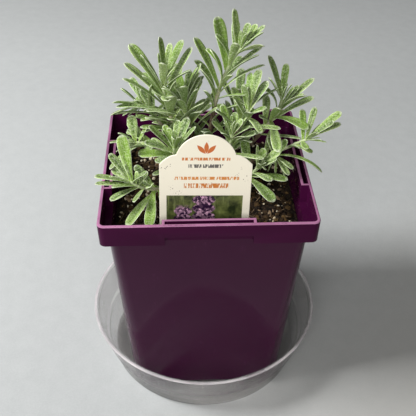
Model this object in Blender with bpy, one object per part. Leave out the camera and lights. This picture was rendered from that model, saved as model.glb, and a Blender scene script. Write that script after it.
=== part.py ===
"""Young lavender in a square nursery pot that stands in a clear round saucer.

Metres, +Z up. The origin is the centre of the saucer's underside, which lies on the floor. The
pot's front, where the plant tag stands, faces -Y. Sizes below are in millimetres; finish_object
scales every mesh to metres.
"""
import math

import bmesh
import bpy
from mathutils import Matrix, Vector, noise

MM = 0.001
GAP = 0.3                      # left between pieces that touch or fit into each other
OVERLAP = 0.2                  # how far shapes that are joined run into each other

# Saucer: thin clear sheet, turned about Z
SAUCER_RIM_RADIUS = 75.8
SAUCER_RIM_HEIGHT = 36.6
SAUCER_STEP_RADIUS = 67.4
SAUCER_STEP_HEIGHT = 15.8
SAUCER_BASE_RADIUS = 64.6
SAUCER_SHEET = 0.9
SAUCER_SEGMENTS = 48
RIB_RADII = (30.0, 46.5)       # middles of the two raised rings that the pot stands on
RIB_HALF_WIDTH = 2.2
RIB_HEIGHT = 2.5

# Pot: square, tapered, with an upright rim band on a ledge
RIM_WIDTH = 120.0
RIM_TOP = 151.0
RIM_BAND = 13.8
RIM_LIP = 1.6
BODY_TOP_WIDTH = 110.6
BODY_BASE_WIDTH = 96.2
WALL = 1.4
POT_FOOT = 1.5
POT_FLOOR_Z = SAUCER_SHEET + RIB_HEIGHT + GAP + POT_FOOT
TAG_POCKET_WIDTH = 48.0
TAG_POCKET_NOTCH = 5.5         # how much higher the band's lower edge is below a pocket
DRAIN_RADIUS = 5.5
DRAIN_OFFSET = 30.0
FOOT_RADIUS = 6.0

# Potting mix
SOIL_TOP = 129.0
SOIL_MOUND = 2.5
SOIL_BUMP = 1.3

# Plant tag, leaning back a little; heights are measured along the tag from the soil line
TAG_THICKNESS = 0.8
TAG_WIDTH = 49.0
TAG_PLACE = (-2.6, -48.0, 130.0)
TAG_LEAN = math.radians(5.0)
TAG_ROLL = math.radians(1.3)
TAG_SHOULDER = 49.3
TAG_SHOULDER_REACH = 8.2       # a shoulder slopes down over this width,
TAG_SHOULDER_DROP = 5.5        # by this much,
TAG_SHOULDER_CURVE = 1.7       # steeper towards the corner
TAG_ARCH_RADIUS = 16.3
TAG_TOP = 66.6
TAG_STAKE_SHOULDER = -10.0
TAG_STAKE_TIP = -30.0

# Plant
CROWN_BOTTOM = 112.0
CROWN_TOP = 138.0
CROWN_RADIUS = 4.2
CROWN_FOOT_RADIUS = 2.4
CROWN_BACK = 3.0               # how far the crown stands behind the pot's middle
WOODY_END = 0.42               # how far up each stem the woody branch of the crown reaches
STEM_RADIUS = 1.25
STEM_TIP_RADIUS = 0.8
STEM_SIDES = 6
STEM_BANDS = 7
BRANCH_BANDS = 3
STEM_POINT = 0.6               # length of the short point that closes a stem
STEM_BREAK = 0.03              # share of a stem left open between the crown's branch and the shoot
BRANCH_SWELL = 0.35            # how much thicker the woody branches are than the stem above
LEAF_HALF_THICKNESS = 0.42
LEAF_HALF_FOOT = 0.55
LEAF_FOLD = 0.25               # how far a leaf's edges rise, against its half width
LEAF_STANDOFF = 0.9            # room between a stem and the foot of a leaf
SINGLE_LEAVES = 40             # the largest leaves, each a piece of its own

# Half width of a leaf along its length, against its widest half: narrow foot, widest past the
# middle, rounded tip.
LEAF_OUTLINE = ((0.0, 0.3), (0.3, 0.62), (0.66, 1.0), (0.9, 0.66), (1.0, 0.0))

# One entry for each stem: where it leaves the crown, its middle and its tip. A leaf is its place
# up the stem in percent, its heading from +X and its rise in degrees, its length and width, and
# how far it bends over from foot to tip in degrees.
SHOOTS = {
    "left_back": {
        "start": (-3, 5, 134), "middle": (-20, 14, 173), "tip": (-23, 17, 194),
        "leaves": [
            (80, 150, 50, 34, 8.5, 15), (100, 140, 85, 28, 6, 12), (85, 160, 60, 21, 4, 10),
            (95, 120, 75, 19, 3, 10), (91, 95, 50, 16, 3, 8), (100, 70, 60, 23, 4, 10),
            (91, 40, 60, 29, 6, 15), (76, 30, 55, 32, 6, 15), (90, -5, 65, 16, 5, 45),
            (65, -30, 70, 18, 5, 20), (69, 160, 40, 32, 8.5, 20), (61, -175, 40, 32, 6, 20),
            (48, 175, 20, 33, 4, 20), (75, -84, 24, 23, 7, 28), (54, -170, 15, 32, 6, 35),
            (50, -155, 10, 19, 5, 20)
        ],
    },
    "far_left": {
        "start": (-5, 5, 134), "middle": (-27, 16, 169), "tip": (-38, 20, 178),
        "leaves": [
            (100, 175, 45, 15, 6, 15), (90, 115, 60, 12, 4, 10), (96, 90, 45, 9, 4, 10),
            (92, -160, 20, 12, 4.5, 15), (58, 30, 45, 8, 4.5, 20), (65, 145, 60, 15, 5, 15),
            (86, -145, 45, 8, 4.5, 15)
        ],
    },
    "middle_back": {
        "start": (-1, 5, 134), "middle": (-9, 12, 169), "tip": (-12, 15, 182),
        "leaves": [
            (97, 40, 60, 25, 4.5, 12), (100, 5, 65, 21, 6, 12), (76, -15, 65, 15, 6, 15),
            (95, 75, 50, 20, 4.5, 10), (85, 175, 70, 12, 4.5, 15), (70, 0, 35, 14, 4.5, 25)
        ],
    },
    "tall": {
        "start": (1, 5, 134), "middle": (7, 17, 183), "tip": (21, 21, 214),
        "leaves": [
            (94, 110, 75, 24, 5, 8), (90, 85, 55, 20, 5, 8), (75, 115, 65, 30, 8.5, 15),
            (80, 165, 65, 20, 6, 60), (100, 40, 65, 14, 4.5, 12), (100, -15, 70, 9, 4, 12),
            (86, 35, 55, 19, 4, 12), (93, 40, 40, 20, 4.5, 15), (86, 15, 45, 26, 4.5, 15),
            (95, -15, 45, 19, 4.5, 15), (66, 10, 40, 29, 5, 20), (70, -20, 40, 25, 5, 20),
            (59, 140, 55, 32, 8.5, 18), (64, 165, 65, 23, 6, 70), (50, 135, 50, 27, 6, 60),
            (54, -175, 60, 20, 6, 25), (55, 0, 35, 32, 4, 35), (51, -40, 25, 21, 5, 20)
        ],
    },
    "right_back": {
        "start": (4, 4, 134), "middle": (35, 9, 167), "tip": (45, 13, 186),
        "leaves": [
            (100, 140, 65, 26, 8.5, 12), (95, 75, 60, 21, 4.5, 8), (75, 175, 55, 20, 6, 75),
            (80, 0, 75, 15, 3, 10), (80, 20, 55, 15, 3, 10), (76, 25, 45, 19, 4, 10),
            (67, 20, 40, 32, 6, 12), (62, 5, 30, 28, 6.5, 18), (66, -45, 5, 25, 8, 45),
            (61, -90, 0, 33, 6, 30), (71, -10, 45, 21, 4.5, 15), (60, -150, 35, 9, 5, 25)
        ],
    },
    "far_right": {
        "start": (4, 2, 134), "middle": (38, -2, 156), "tip": (60, -6, 170),
        "leaves": [
            (100, 10, 40, 23, 5, 12), (98, -10, 45, 18, 4.5, 12), (91, 5, 25, 23, 5, 12),
            (95, 55, 65, 19, 4, 10), (90, 90, 50, 18, 4.5, 15), (95, -40, 50, 9, 4.5, 15),
            (89, -90, 10, 11, 5, 20), (80, -50, 0, 12, 5, 15)
        ],
    },
    "right_front": {
        "start": (4, 0, 134), "middle": (20, -10, 143), "tip": (30, -16, 158),
        "leaves": [
            (90, 10, 40, 18, 6, 12), (95, 45, 60, 12, 4.5, 10), (95, 0, 70, 8, 4, 10),
            (72, 105, 60, 23, 6, 15), (85, -55, 10, 15, 6, 20), (75, -20, 5, 22, 8, 20),
            (70, -55, -10, 23, 8, 25), (90, -15, 40, 15, 4.5, 15), (85, 150, 40, 10, 4.5, 15)
        ],
    },
    "right_low": {
        "start": (4, 1, 134), "middle": (31, -6, 157), "tip": (41, -9, 159),
        "leaves": [
            (92, -30, -5, 30, 6, 60), (100, -70, -10, 15, 5, 15), (96, -55, -5, 14, 5, 20),
            (80, 120, 55, 10, 4.5, 12), (100, 30, 60, 12, 4, 10)
        ],
    },
    "centre": {
        "start": (2, 1, 134), "middle": (12, -4, 157), "tip": (15, -5, 174),
        "leaves": [
            (91, 125, 60, 19, 5, 12), (90, -15, 40, 13, 4.5, 15), (80, -20, 30, 16, 5, 20),
            (85, -145, 45, 10, 4.5, 20), (95, 5, 60, 11, 6, 12), (99, -20, 85, 8, 4, 10),
            (80, 160, 45, 16, 5, 15), (91, 75, 50, 14, 4.5, 10)
        ],
    },
    "centre_back": {
        "start": (3, 4, 134), "middle": (20, 3, 172), "tip": (25, 6, 185),
        "leaves": [
            (73, 20, 55, 22, 8.5, 15), (93, 55, 60, 22, 7, 12), (89, 130, 85, 13, 5, 15),
            (81, 100, 55, 15, 5, 10), (65, -65, 0, 19, 5, 70), (67, 170, 60, 12, 4.5, 15),
            (70, -15, 30, 13, 5, 20)
        ],
    },
    "left_centre": {
        "start": (-2, 1, 134), "middle": (-15, -8, 154), "tip": (-18, -11, 169),
        "leaves": [
            (89, 165, 45, 20, 6.5, 12), (90, 45, 55, 20, 6, 12), (100, 75, 50, 15, 4.5, 12),
            (95, -160, 85, 8, 4.5, 12), (85, -175, 25, 18, 7, 18), (76, -170, 10, 21, 8.5, 20),
            (92, 120, 45, 15, 4.5, 12), (80, -135, 5, 14, 6, 20)
        ],
    },
    "left_front": {
        "start": (-3, 0, 134), "middle": (-29, -22, 147), "tip": (-43, -26, 156),
        "leaves": [
            (100, 110, 55, 26, 7, 12), (100, 145, 45, 19, 4.5, 12), (100, -175, 15, 20, 6.5, 12),
            (86, -165, 15, 23, 4.5, 15), (85, -145, 20, 16, 5, 15), (80, -140, 0, 19, 6.5, 20),
            (95, -25, 45, 13, 5, 15), (86, 60, 75, 8, 3, 8), (80, 15, 55, 10, 4.5, 15),
            (50, -125, -15, 29, 7, 20), (54, -95, -15, 26, 6.5, 20)
        ],
    },
    "left_low": {
        "start": (-4, 3, 134), "middle": (-27, 2, 158), "tip": (-41, 4, 162),
        "leaves": [
            (96, -165, 10, 16, 4.5, 15), (97, 175, 30, 12, 5, 15), (50, 150, 15, 24, 5, 50),
            (100, 105, 60, 16, 6, 12), (75, -135, 5, 14, 5, 40), (96, -135, -20, 23, 5, 20),
            (90, 30, 55, 10, 4.5, 12), (75, 145, 20, 14, 4, 12), (81, -65, 15, 14, 4.5, 20)
        ],
    },
    "back_left": {
        "start": (-2, 7, 134), "middle": (-10, 26, 148), "tip": (-14, 38, 164),
        "leaves": [
            (100, 100, 55, 23, 6, 15), (95, 60, 45, 21, 5, 15), (90, 150, 40, 23, 6, 15),
            (80, 120, 15, 25, 6.5, 20), (75, 35, 20, 23, 6, 20), (65, 170, 15, 21, 5, 20),
            (100, -20, 75, 14, 4.5, 10), (60, 80, 5, 21, 5, 20)
        ],
    },
    "back_right": {
        "start": (2, 7, 134), "middle": (15, 24, 150), "tip": (22, 36, 168),
        "leaves": [
            (100, 80, 60, 23, 6, 15), (95, 30, 45, 23, 6, 15), (95, 130, 45, 21, 5, 15),
            (80, 60, 15, 25, 6.5, 20), (80, 0, 20, 21, 5, 20), (70, 110, 10, 23, 6, 20),
            (100, -100, 75, 14, 4.5, 10), (60, 30, 5, 21, 5, 20)
        ],
    },
}

COLOURS = {
    "clear_plastic": ((0.80, 0.82, 0.82, 0.3), 0.08),
    "purple_plastic": ((0.05, 0.012, 0.035, 1.0), 0.28),
    "potting_mix": ((0.035, 0.022, 0.014, 1.0), 0.95),
    "tag_plastic": ((0.86, 0.82, 0.70, 1.0), 0.45),
    "woody_stem": ((0.20, 0.13, 0.08, 1.0), 0.85),
    "leaf": ((0.28, 0.40, 0.20, 1.0), 0.80),
}


def material(name):
    """The named material, made the first time it is asked for."""
    found = bpy.data.materials.get(name)
    if found:
        return found
    colour, roughness = COLOURS[name]
    made = bpy.data.materials.new(name)
    made.use_nodes = True
    shader = made.node_tree.nodes["Principled BSDF"]
    shader.inputs["Base Color"].default_value = colour
    shader.inputs["Roughness"].default_value = roughness
    shader.inputs["Metallic"].default_value = 0.0
    made.diffuse_color = colour
    return made


def finish_object(name, shape, material_name):
    """Turn a bmesh in millimetres into a linked object in metres."""
    bmesh.ops.scale(shape, vec=(MM, MM, MM), verts=shape.verts)
    mesh = bpy.data.meshes.new(name)
    shape.to_mesh(mesh)
    shape.free()
    mesh.materials.append(material(material_name))
    mesh.shade_smooth()
    mesh.set_sharp_from_angle(angle=math.radians(35.0))
    made = bpy.data.objects.new(name, mesh)
    bpy.context.scene.collection.objects.link(made)
    return made


def boolean(target, tool, operation, tool_overlaps_itself=False):
    """Join or cut target by tool, which then only guides and isn't a piece."""
    tool.hide_render = True
    tool.display_type = "WIRE"
    modifier = target.modifiers.new(tool.name, "BOOLEAN")
    modifier.operation = operation
    modifier.object = tool
    modifier.solver = "EXACT"
    modifier.use_self = tool_overlaps_itself


def bridge(shape, rows):
    """Join closed rows of vertices in turn; a row of one vertex closes an end."""
    made = []
    for low, high in zip(rows, rows[1:]):
        count = max(len(low), len(high))
        for index in range(count):
            following = (index + 1) % count
            corners = [low[index % len(low)], low[following % len(low)],
                       high[following % len(high)], high[index % len(high)]]
            made.append(shape.faces.new(list(dict.fromkeys(corners))))
    return made


def loft(shape, rings):
    """A closed skin over rings of points, with a flat face on each end that isn't a point.

    Its faces point out when each ring runs anticlockwise as seen from the last ring's end.
    """
    rows = [[shape.verts.new(point) for point in ring] for ring in rings]
    sides = bridge(shape, rows)
    for end in (rows[0][::-1], rows[-1]):
        if len(end) > 2:
            shape.faces.new(end)
    return sides


def box(shape, low, high):
    """Add a box between two corners."""
    size = [b - a for a, b in zip(low, high)]
    middle = [(a + b) / 2 for a, b in zip(low, high)]
    place = Matrix.Translation(middle) @ Matrix.Diagonal((*size, 1.0))
    bmesh.ops.create_cube(shape, size=1.0, matrix=place)


def round_bar(shape, x, y, low, high, radius, segments=20):
    """Add an upright cylinder."""
    place = Matrix.Translation((x, y, (low + high) / 2))
    bmesh.ops.create_cone(shape, cap_ends=True, segments=segments, radius1=radius,
                          radius2=radius, depth=high - low, matrix=place)


def rounded_square(half, radius, z, corner_steps=5, side_steps=1):
    """Points round a square with rounded corners, anticlockwise from the +X side."""
    points = []
    inner = half - radius
    for quarter in range(4):
        turn = Matrix.Rotation(math.radians(90.0 * quarter), 3, "Z")
        for step in range(1, side_steps):
            along = -inner + 2 * inner * step / side_steps
            points.append(turn @ Vector((half, along, z)))
        for step in range(corner_steps + 1):
            angle = math.radians(90.0 * step / corner_steps)
            corner = Vector((inner + radius * math.cos(angle), inner + radius * math.sin(angle), z))
            points.append(turn @ corner)
    return points


def body_half_width(z):
    """Half the outer width of the pot's tapered body at a height."""
    rise = (z - POT_FLOOR_Z) / (RIM_TOP - RIM_BAND - POT_FLOOR_Z)
    return (BODY_BASE_WIDTH + (BODY_TOP_WIDTH - BODY_BASE_WIDTH) * rise) / 2


def four_sides(shape):
    """Repeat what is in shape on the other three sides of the pot."""
    source = list(shape.verts) + list(shape.edges) + list(shape.faces)
    for quarter in range(1, 4):
        copy = bmesh.ops.duplicate(shape, geom=source)
        verts = [item for item in copy["geom"] if isinstance(item, bmesh.types.BMVert)]
        turn = Matrix.Rotation(math.radians(90.0 * quarter), 3, "Z")
        bmesh.ops.rotate(shape, verts=verts, cent=(0, 0, 0), matrix=turn)


def make_saucer():
    """A sheet of one thickness: flat floor with two ribs, stepped flaring wall, flat rim."""
    line = [(0.0, 0.0)]
    for radius in RIB_RADII:
        foot = RIB_HALF_WIDTH + 1.5
        line += [(radius - foot, 0.0), (radius - RIB_HALF_WIDTH, RIB_HEIGHT),
                 (radius + RIB_HALF_WIDTH, RIB_HEIGHT), (radius + foot, 0.0)]
    line += [(SAUCER_BASE_RADIUS - 1.4, 0.0), (SAUCER_BASE_RADIUS, 1.4),
             (SAUCER_STEP_RADIUS, SAUCER_STEP_HEIGHT),
             (SAUCER_STEP_RADIUS + 2.2, SAUCER_STEP_HEIGHT + 1.2),
             (SAUCER_RIM_RADIUS - 2.2, SAUCER_RIM_HEIGHT - 0.4),
             (SAUCER_RIM_RADIUS, SAUCER_RIM_HEIGHT)]
    upper = []
    for index, (radius, z) in enumerate(line):
        before = Vector(line[max(index - 1, 0)])
        after = Vector(line[min(index + 1, len(line) - 1)])
        along = (after - before).normalized()
        upper.append((radius - along.y * SAUCER_SHEET, z + along.x * SAUCER_SHEET))
    upper[0] = (0.0, SAUCER_SHEET)
    outline = line + upper[::-1]
    rings = []
    for radius, z in outline:
        if radius == 0.0:
            rings.append([Vector((0.0, 0.0, z))])
            continue
        steps = [2 * math.pi * step / SAUCER_SEGMENTS for step in range(SAUCER_SEGMENTS)]
        rings.append([Vector((radius * math.cos(a), radius * math.sin(a), z)) for a in steps])
    shape = bmesh.new()
    loft(shape, rings)
    finish_object("saucer", shape, "clear_plastic")


def make_pot():
    """Tapered shell with a ledge and rim band, four tag pockets, drain holes and feet."""
    ledge_z = RIM_TOP - RIM_BAND
    top_half = BODY_TOP_WIDTH / 2
    base_half = BODY_BASE_WIDTH / 2
    rim_half = RIM_WIDTH / 2
    rings = [
        rounded_square(base_half - 1.0, 11.0, POT_FLOOR_Z),
        rounded_square(base_half, 12.0, POT_FLOOR_Z + 1.0),
        rounded_square(top_half, 6.0, ledge_z),
        rounded_square(rim_half - 0.4, 3.6, ledge_z),
        rounded_square(rim_half, 3.8, RIM_TOP - 0.5),
        rounded_square(rim_half - 0.5, 3.3, RIM_TOP),
        rounded_square(rim_half - RIM_LIP, 2.6, RIM_TOP),
        rounded_square(rim_half - RIM_LIP - OVERLAP, 2.4, ledge_z + WALL),
        rounded_square(top_half - WALL, 5.0, ledge_z + WALL),
        rounded_square(base_half - WALL, 10.8, POT_FLOOR_Z + WALL),
    ]
    shape = bmesh.new()
    loft(shape, rings)
    pot = finish_object("pot", shape, "purple_plastic")

    half_pocket = TAG_POCKET_WIDTH / 2
    notches = bmesh.new()
    box(notches, (-half_pocket, -rim_half - 1.0, ledge_z - 1.0),
        (half_pocket, -top_half - 0.15, ledge_z + TAG_POCKET_NOTCH))
    four_sides(notches)
    boolean(pot, finish_object("pocket_notch_cutter", notches, "purple_plastic"), "DIFFERENCE")

    web = half_pocket + WALL
    slot = half_pocket - OVERLAP / 2
    outer = top_half + GAP
    inner = top_half - WALL + OVERLAP
    band_inside = rim_half - RIM_LIP / 2
    plan = [(-web, -band_inside), (-slot, -band_inside), (-slot, -outer), (slot, -outer),
            (slot, -band_inside), (web, -band_inside), (web, -inner), (-web, -inner)]
    walls = bmesh.new()
    loft(walls, [[Vector((x, y, z)) for x, y in plan] for z in (ledge_z + 0.5, RIM_TOP - OVERLAP)])
    four_sides(walls)
    boolean(pot, finish_object("pocket_walls", walls, "purple_plastic"), "UNION")

    floors = bmesh.new()
    box(floors, (-half_pocket - 0.5, -band_inside - OVERLAP / 2,
                 ledge_z + TAG_POCKET_NOTCH + OVERLAP / 2),
        (half_pocket + 0.5, -top_half, ledge_z + TAG_POCKET_NOTCH + WALL))
    four_sides(floors)
    boolean(pot, finish_object("pocket_floors", floors, "purple_plastic"), "UNION")

    feet = bmesh.new()
    reach = RIB_RADII[1] / math.sqrt(2)
    round_bar(feet, reach, reach, POT_FLOOR_Z - POT_FOOT, POT_FLOOR_Z + WALL / 2, FOOT_RADIUS)
    four_sides(feet)
    boolean(pot, finish_object("feet", feet, "purple_plastic"), "UNION")

    drains = bmesh.new()
    round_bar(drains, DRAIN_OFFSET, 0.0, POT_FLOOR_Z - 1.0, POT_FLOOR_Z + WALL + 1.0, DRAIN_RADIUS)
    four_sides(drains)
    round_bar(drains, 0.0, 0.0, POT_FLOOR_Z - 1.0, POT_FLOOR_Z + WALL + 1.0, DRAIN_RADIUS)
    boolean(pot, finish_object("drain_cutter", drains, "purple_plastic"), "DIFFERENCE")


def tag_outline():
    """Right half of the tag's outline from the stake's tip up to the top of the arch."""
    half = TAG_WIDTH / 2
    stake = 4.0
    points = [(0.0, TAG_STAKE_TIP), (stake, TAG_STAKE_TIP + 7.0), (stake + 2.0, TAG_STAKE_SHOULDER - 5.0),
              (half, TAG_STAKE_SHOULDER)]
    for step in range(6):
        share = 1.0 - step / 5
        points.append((half - TAG_SHOULDER_REACH * (1.0 - share),
                       TAG_SHOULDER + TAG_SHOULDER_DROP * (1.0 - share ** TAG_SHOULDER_CURVE)))
    arch_centre = TAG_TOP - TAG_ARCH_RADIUS
    for step in range(9):
        angle = math.radians(17.0 + 73.0 * step / 8)
        points.append((TAG_ARCH_RADIUS * math.cos(angle), arch_centre + TAG_ARCH_RADIUS * math.sin(angle)))
    return points


def tag_shape(outline, thickness):
    """A flat plate of the mirrored outline, leaned and set in its place."""
    whole = outline + [(-x, v) for x, v in outline[-2:0:-1]]
    place = (Matrix.Translation(TAG_PLACE) @ Matrix.Rotation(TAG_ROLL, 4, "Y")
             @ Matrix.Rotation(-TAG_LEAN, 4, "X"))
    shape = bmesh.new()
    loft(shape, [[place @ Vector((x, y, v)) for x, v in whole] for y in (thickness / 2, -thickness / 2)])
    return shape


def make_tag():
    """Thin plate with an arched top and a pointed stake in the soil."""
    finish_object("plant_tag", tag_shape(tag_outline(), TAG_THICKNESS), "tag_plastic")


def stem_point(shoot, along):
    """A point on a stem's curve, which passes its middle point half way."""
    start, middle, tip = (Vector(shoot[key]) for key in ("start", "middle", "tip"))
    bend = 2 * middle - (start + tip) / 2
    return (1 - along) ** 2 * start + 2 * along * (1 - along) * bend + along ** 2 * tip


def stem_direction(shoot, along):
    """The stem's direction at a point."""
    return (stem_point(shoot, along + 0.01) - stem_point(shoot, along - 0.01)).normalized()


def stem_radius(along):
    """A stem thins from its woody end to its tip."""
    return STEM_RADIUS + (STEM_TIP_RADIUS - STEM_RADIUS) * along


def add_stem(shape, shoot, low, high, steps, swell=0.0):
    """A faceted tube along part of a stem's curve, closed by a short point at the top."""
    rings = []
    for step in range(steps + 1):
        along = low + (high - low) * step / steps
        centre = stem_point(shoot, along)
        turn = stem_direction(shoot, along).to_track_quat("Z", "X")
        radius = stem_radius(along) + swell
        ring = []
        for side in range(STEM_SIDES):
            angle = 2 * math.pi * side / STEM_SIDES
            ring.append(centre + turn @ Vector((radius * math.cos(angle), radius * math.sin(angle), 0.0)))
        rings.append(ring)
    rings.append([stem_point(shoot, high) + stem_direction(shoot, high) * STEM_POINT])
    return loft(shape, rings)


def leaf_directions(heading, rise):
    """Tangent, sideways and upper-face directions of a leaf."""
    turn, tilt = math.radians(heading), math.radians(rise)
    tangent = Vector((math.cos(tilt) * math.cos(turn), math.cos(tilt) * math.sin(turn), math.sin(tilt)))
    side = Vector((-math.sin(turn), math.cos(turn), 0.0))
    return tangent, side, tangent.cross(side)


def leaf_outward(shoot, leaf):
    """The direction, square to the stem, in which a leaf leaves it."""
    stem = stem_direction(shoot, leaf[0] / 100)
    tangent = leaf_directions(leaf[1], leaf[2])[0]
    outward = tangent - stem * tangent.dot(stem)
    if outward.length < 0.25:
        outward = leaf_directions(leaf[1], 0.0)[0]
    return outward.normalized()


def leaf_rings(shoot, leaf):
    """Cross sections of a narrow folded leaf with sharp edges, from foot to tip."""
    percent, heading, rise, length, width, bend = leaf
    along = percent / 100
    point = stem_point(shoot, along) + leaf_outward(shoot, leaf) * (stem_radius(along) + LEAF_STANDOFF)
    rings = []
    reached = 0.0
    for place, share in LEAF_OUTLINE:
        middle = (reached + place) / 2
        tangent = leaf_directions(heading, rise + bend * (0.5 - middle))[0]
        point = point + tangent * length * (place - reached)
        reached = place
        side, upper = leaf_directions(heading, rise + bend * (0.5 - place))[1:]
        if share == 0.0:
            rings.append([point])
            continue
        half = max(width / 2 * share, LEAF_HALF_FOOT)
        lift = upper * half * LEAF_FOLD
        thick = upper * LEAF_HALF_THICKNESS
        rings.append([point + side * half + lift, point + thick, point - side * half + lift, point - thick])
    return rings


def grow_leaf(shape, bands, shoot, leaf):
    """Draw a leaf out of the free face of the stem that lies nearest to its foot."""
    rings = leaf_rings(shoot, leaf)
    foot = stem_point(shoot, leaf[0] / 100) + leaf_outward(shoot, leaf) * stem_radius(leaf[0] / 100)
    free = [face for face in shape.faces if face in bands]
    face = min(free, key=lambda item: (item.calc_center_median() - foot).length)
    bands.discard(face)
    corners = list(face.verts)
    shape.faces.remove(face)
    shifts = range(len(corners))
    spreads = [sum((corner.co - rings[0][(index + shift) % len(corners)]).length
                   for index, corner in enumerate(corners)) for shift in shifts]
    shift = spreads.index(min(spreads))
    rows = [corners]
    for ring in rings:
        turned = ring[shift:] + ring[:shift] if len(ring) > 1 else ring
        rows.append([shape.verts.new(point) for point in turned])
    bridge(shape, rows)


def leaf_area(leaf):
    """Length times width, to tell the largest leaves."""
    return leaf[3] * leaf[4]


def make_plant():
    """Woody crown, leafy shoots, and the largest leaves as pieces of their own."""
    ranked = sorted((leaf_area(leaf) for shoot in SHOOTS.values() for leaf in shoot["leaves"]), reverse=True)
    smallest_single = ranked[SINGLE_LEAVES - 1]
    left = SINGLE_LEAVES

    crown = bmesh.new()
    bmesh.ops.create_cone(crown, cap_ends=True, segments=12, radius1=CROWN_FOOT_RADIUS,
                          radius2=CROWN_RADIUS, depth=CROWN_TOP - CROWN_BOTTOM,
                          matrix=Matrix.Translation((0.0, CROWN_BACK, (CROWN_TOP + CROWN_BOTTOM) / 2)))
    crown = finish_object("woody_crown", crown, "woody_stem")
    branches = bmesh.new()
    for shoot in SHOOTS.values():
        add_stem(branches, shoot, 0.0, WOODY_END, BRANCH_BANDS, swell=BRANCH_SWELL)
    boolean(crown, finish_object("crown_branches", branches, "woody_stem"), "UNION", True)

    for name, shoot in SHOOTS.items():
        stem = bmesh.new()
        bands = set(add_stem(stem, shoot, WOODY_END + STEM_BREAK, 1.0, STEM_BANDS)[:STEM_BANDS * STEM_SIDES])
        for number, leaf in enumerate(shoot["leaves"], 1):
            if leaf_area(leaf) < smallest_single or left == 0:
                grow_leaf(stem, bands, shoot, leaf)
                continue
            left -= 1
            shape = bmesh.new()
            loft(shape, leaf_rings(shoot, leaf))
            finish_object("leaf_%s_%d" % (name, number), shape, "leaf")
        finish_object("shoot_" + name, stem, "leaf")


def soil_ring(share, z):
    """A ring of the soil's surface, uneven except where it meets the wall."""
    half = (body_half_width(SOIL_TOP) - WALL - GAP) * share
    points = rounded_square(half, 6.0 * share, z, side_steps=5)
    for point in points:
        rough = noise.noise(point * 0.11) + 0.5 * noise.noise(point * 0.31)
        point.z += SOIL_MOUND * (1 - share) + SOIL_BUMP * rough
    return points


def make_soil():
    """The potting mix fills the pot; the tag and the crown stand in sockets of their own."""
    base_z = POT_FLOOR_Z + WALL + GAP
    base_half = body_half_width(base_z) - WALL - GAP
    rings = [rounded_square(base_half, 10.6, base_z, side_steps=5)]
    rings += [soil_ring(share, SOIL_TOP) for share in (1.0, 0.86, 0.7, 0.54, 0.38, 0.22)]
    centre = Vector((0.0, 0.0, SOIL_TOP + SOIL_MOUND))
    rings.append([centre])
    shape = bmesh.new()
    loft(shape, rings)
    soil = finish_object("potting_mix", shape, "potting_mix")

    grown = [(x + math.copysign(GAP, x) if x else 0.0, v) for x, v in tag_outline()]
    grown[0] = (0.0, TAG_STAKE_TIP - 1.5)
    slot = tag_shape(grown, TAG_THICKNESS + 2 * GAP)
    boolean(soil, finish_object("tag_slot_cutter", slot, "potting_mix"), "DIFFERENCE")

    socket = bmesh.new()
    bmesh.ops.create_cone(socket, cap_ends=True, segments=12, radius1=CROWN_FOOT_RADIUS + GAP,
                          radius2=CROWN_RADIUS + GAP + 0.2, depth=CROWN_TOP - CROWN_BOTTOM + 4 * GAP,
                          matrix=Matrix.Translation((0.0, CROWN_BACK, (CROWN_TOP + CROWN_BOTTOM) / 2)))
    boolean(soil, finish_object("crown_socket_cutter", socket, "potting_mix"), "DIFFERENCE")


for old in list(bpy.data.objects):
    bpy.data.objects.remove(old, do_unlink=True)

make_saucer()
make_pot()
make_soil()
make_tag()
make_plant()
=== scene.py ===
import math
import random

import bmesh
import bpy
from mathutils import Matrix, Vector, noise


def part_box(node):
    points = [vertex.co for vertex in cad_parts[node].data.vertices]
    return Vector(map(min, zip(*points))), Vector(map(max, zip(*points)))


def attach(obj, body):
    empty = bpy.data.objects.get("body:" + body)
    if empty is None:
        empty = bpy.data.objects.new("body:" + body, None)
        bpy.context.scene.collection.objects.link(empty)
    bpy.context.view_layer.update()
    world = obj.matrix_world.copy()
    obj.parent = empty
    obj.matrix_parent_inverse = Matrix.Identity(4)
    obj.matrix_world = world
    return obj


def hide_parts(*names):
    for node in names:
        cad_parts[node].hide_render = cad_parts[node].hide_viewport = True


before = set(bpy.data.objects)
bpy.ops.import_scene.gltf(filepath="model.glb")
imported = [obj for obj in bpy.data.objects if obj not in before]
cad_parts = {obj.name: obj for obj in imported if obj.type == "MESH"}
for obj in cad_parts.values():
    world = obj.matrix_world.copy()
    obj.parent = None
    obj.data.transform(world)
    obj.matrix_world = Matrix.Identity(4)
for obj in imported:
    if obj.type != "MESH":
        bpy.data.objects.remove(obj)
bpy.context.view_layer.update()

MM = 0.001


# ---- Saucer -----------------------------------------------------------------------------------
# A clear saucer drawn from one thin sheet of plastic: a flat floor with two raised rings for the
# pot to stand on, a stepped, flaring wall and a flat rim that is trimmed and rolled at its edge.
# It lies loose under the pot.

saucer_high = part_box("saucer")[1]
SAUCER_SHEET = 0.9 * MM
SAUCER_RIM_RADIUS = saucer_high.x
SAUCER_RIM_HEIGHT = saucer_high.z - SAUCER_SHEET
SAUCER_STEP_RADIUS = 67.4 * MM
SAUCER_STEP_HEIGHT = 15.8 * MM
SAUCER_BASE_RADIUS = 64.6 * MM
SAUCER_RIBS = (30.0 * MM, 46.5 * MM)
SAUCER_RIB_HEIGHT = 2.5 * MM
SAUCER_HIGHLIGHT_BAND = 1.7 * MM
SAUCER_SEGMENTS = 144


def fill(node, inputs):
    """Give each input of a node a value or another node's output."""
    for key, value in inputs.items():
        socket = node.inputs[key]
        if isinstance(value, bpy.types.NodeSocket):
            node.id_data.links.new(value, socket)
        else:
            socket.default_value = value


def add_node(tree, kind, inputs=None, **settings):
    """Add a node with its settings and inputs."""
    node = tree.nodes.new(kind)
    for name, value in settings.items():
        setattr(node, name, value)
    fill(node, inputs or {})
    return node


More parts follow.
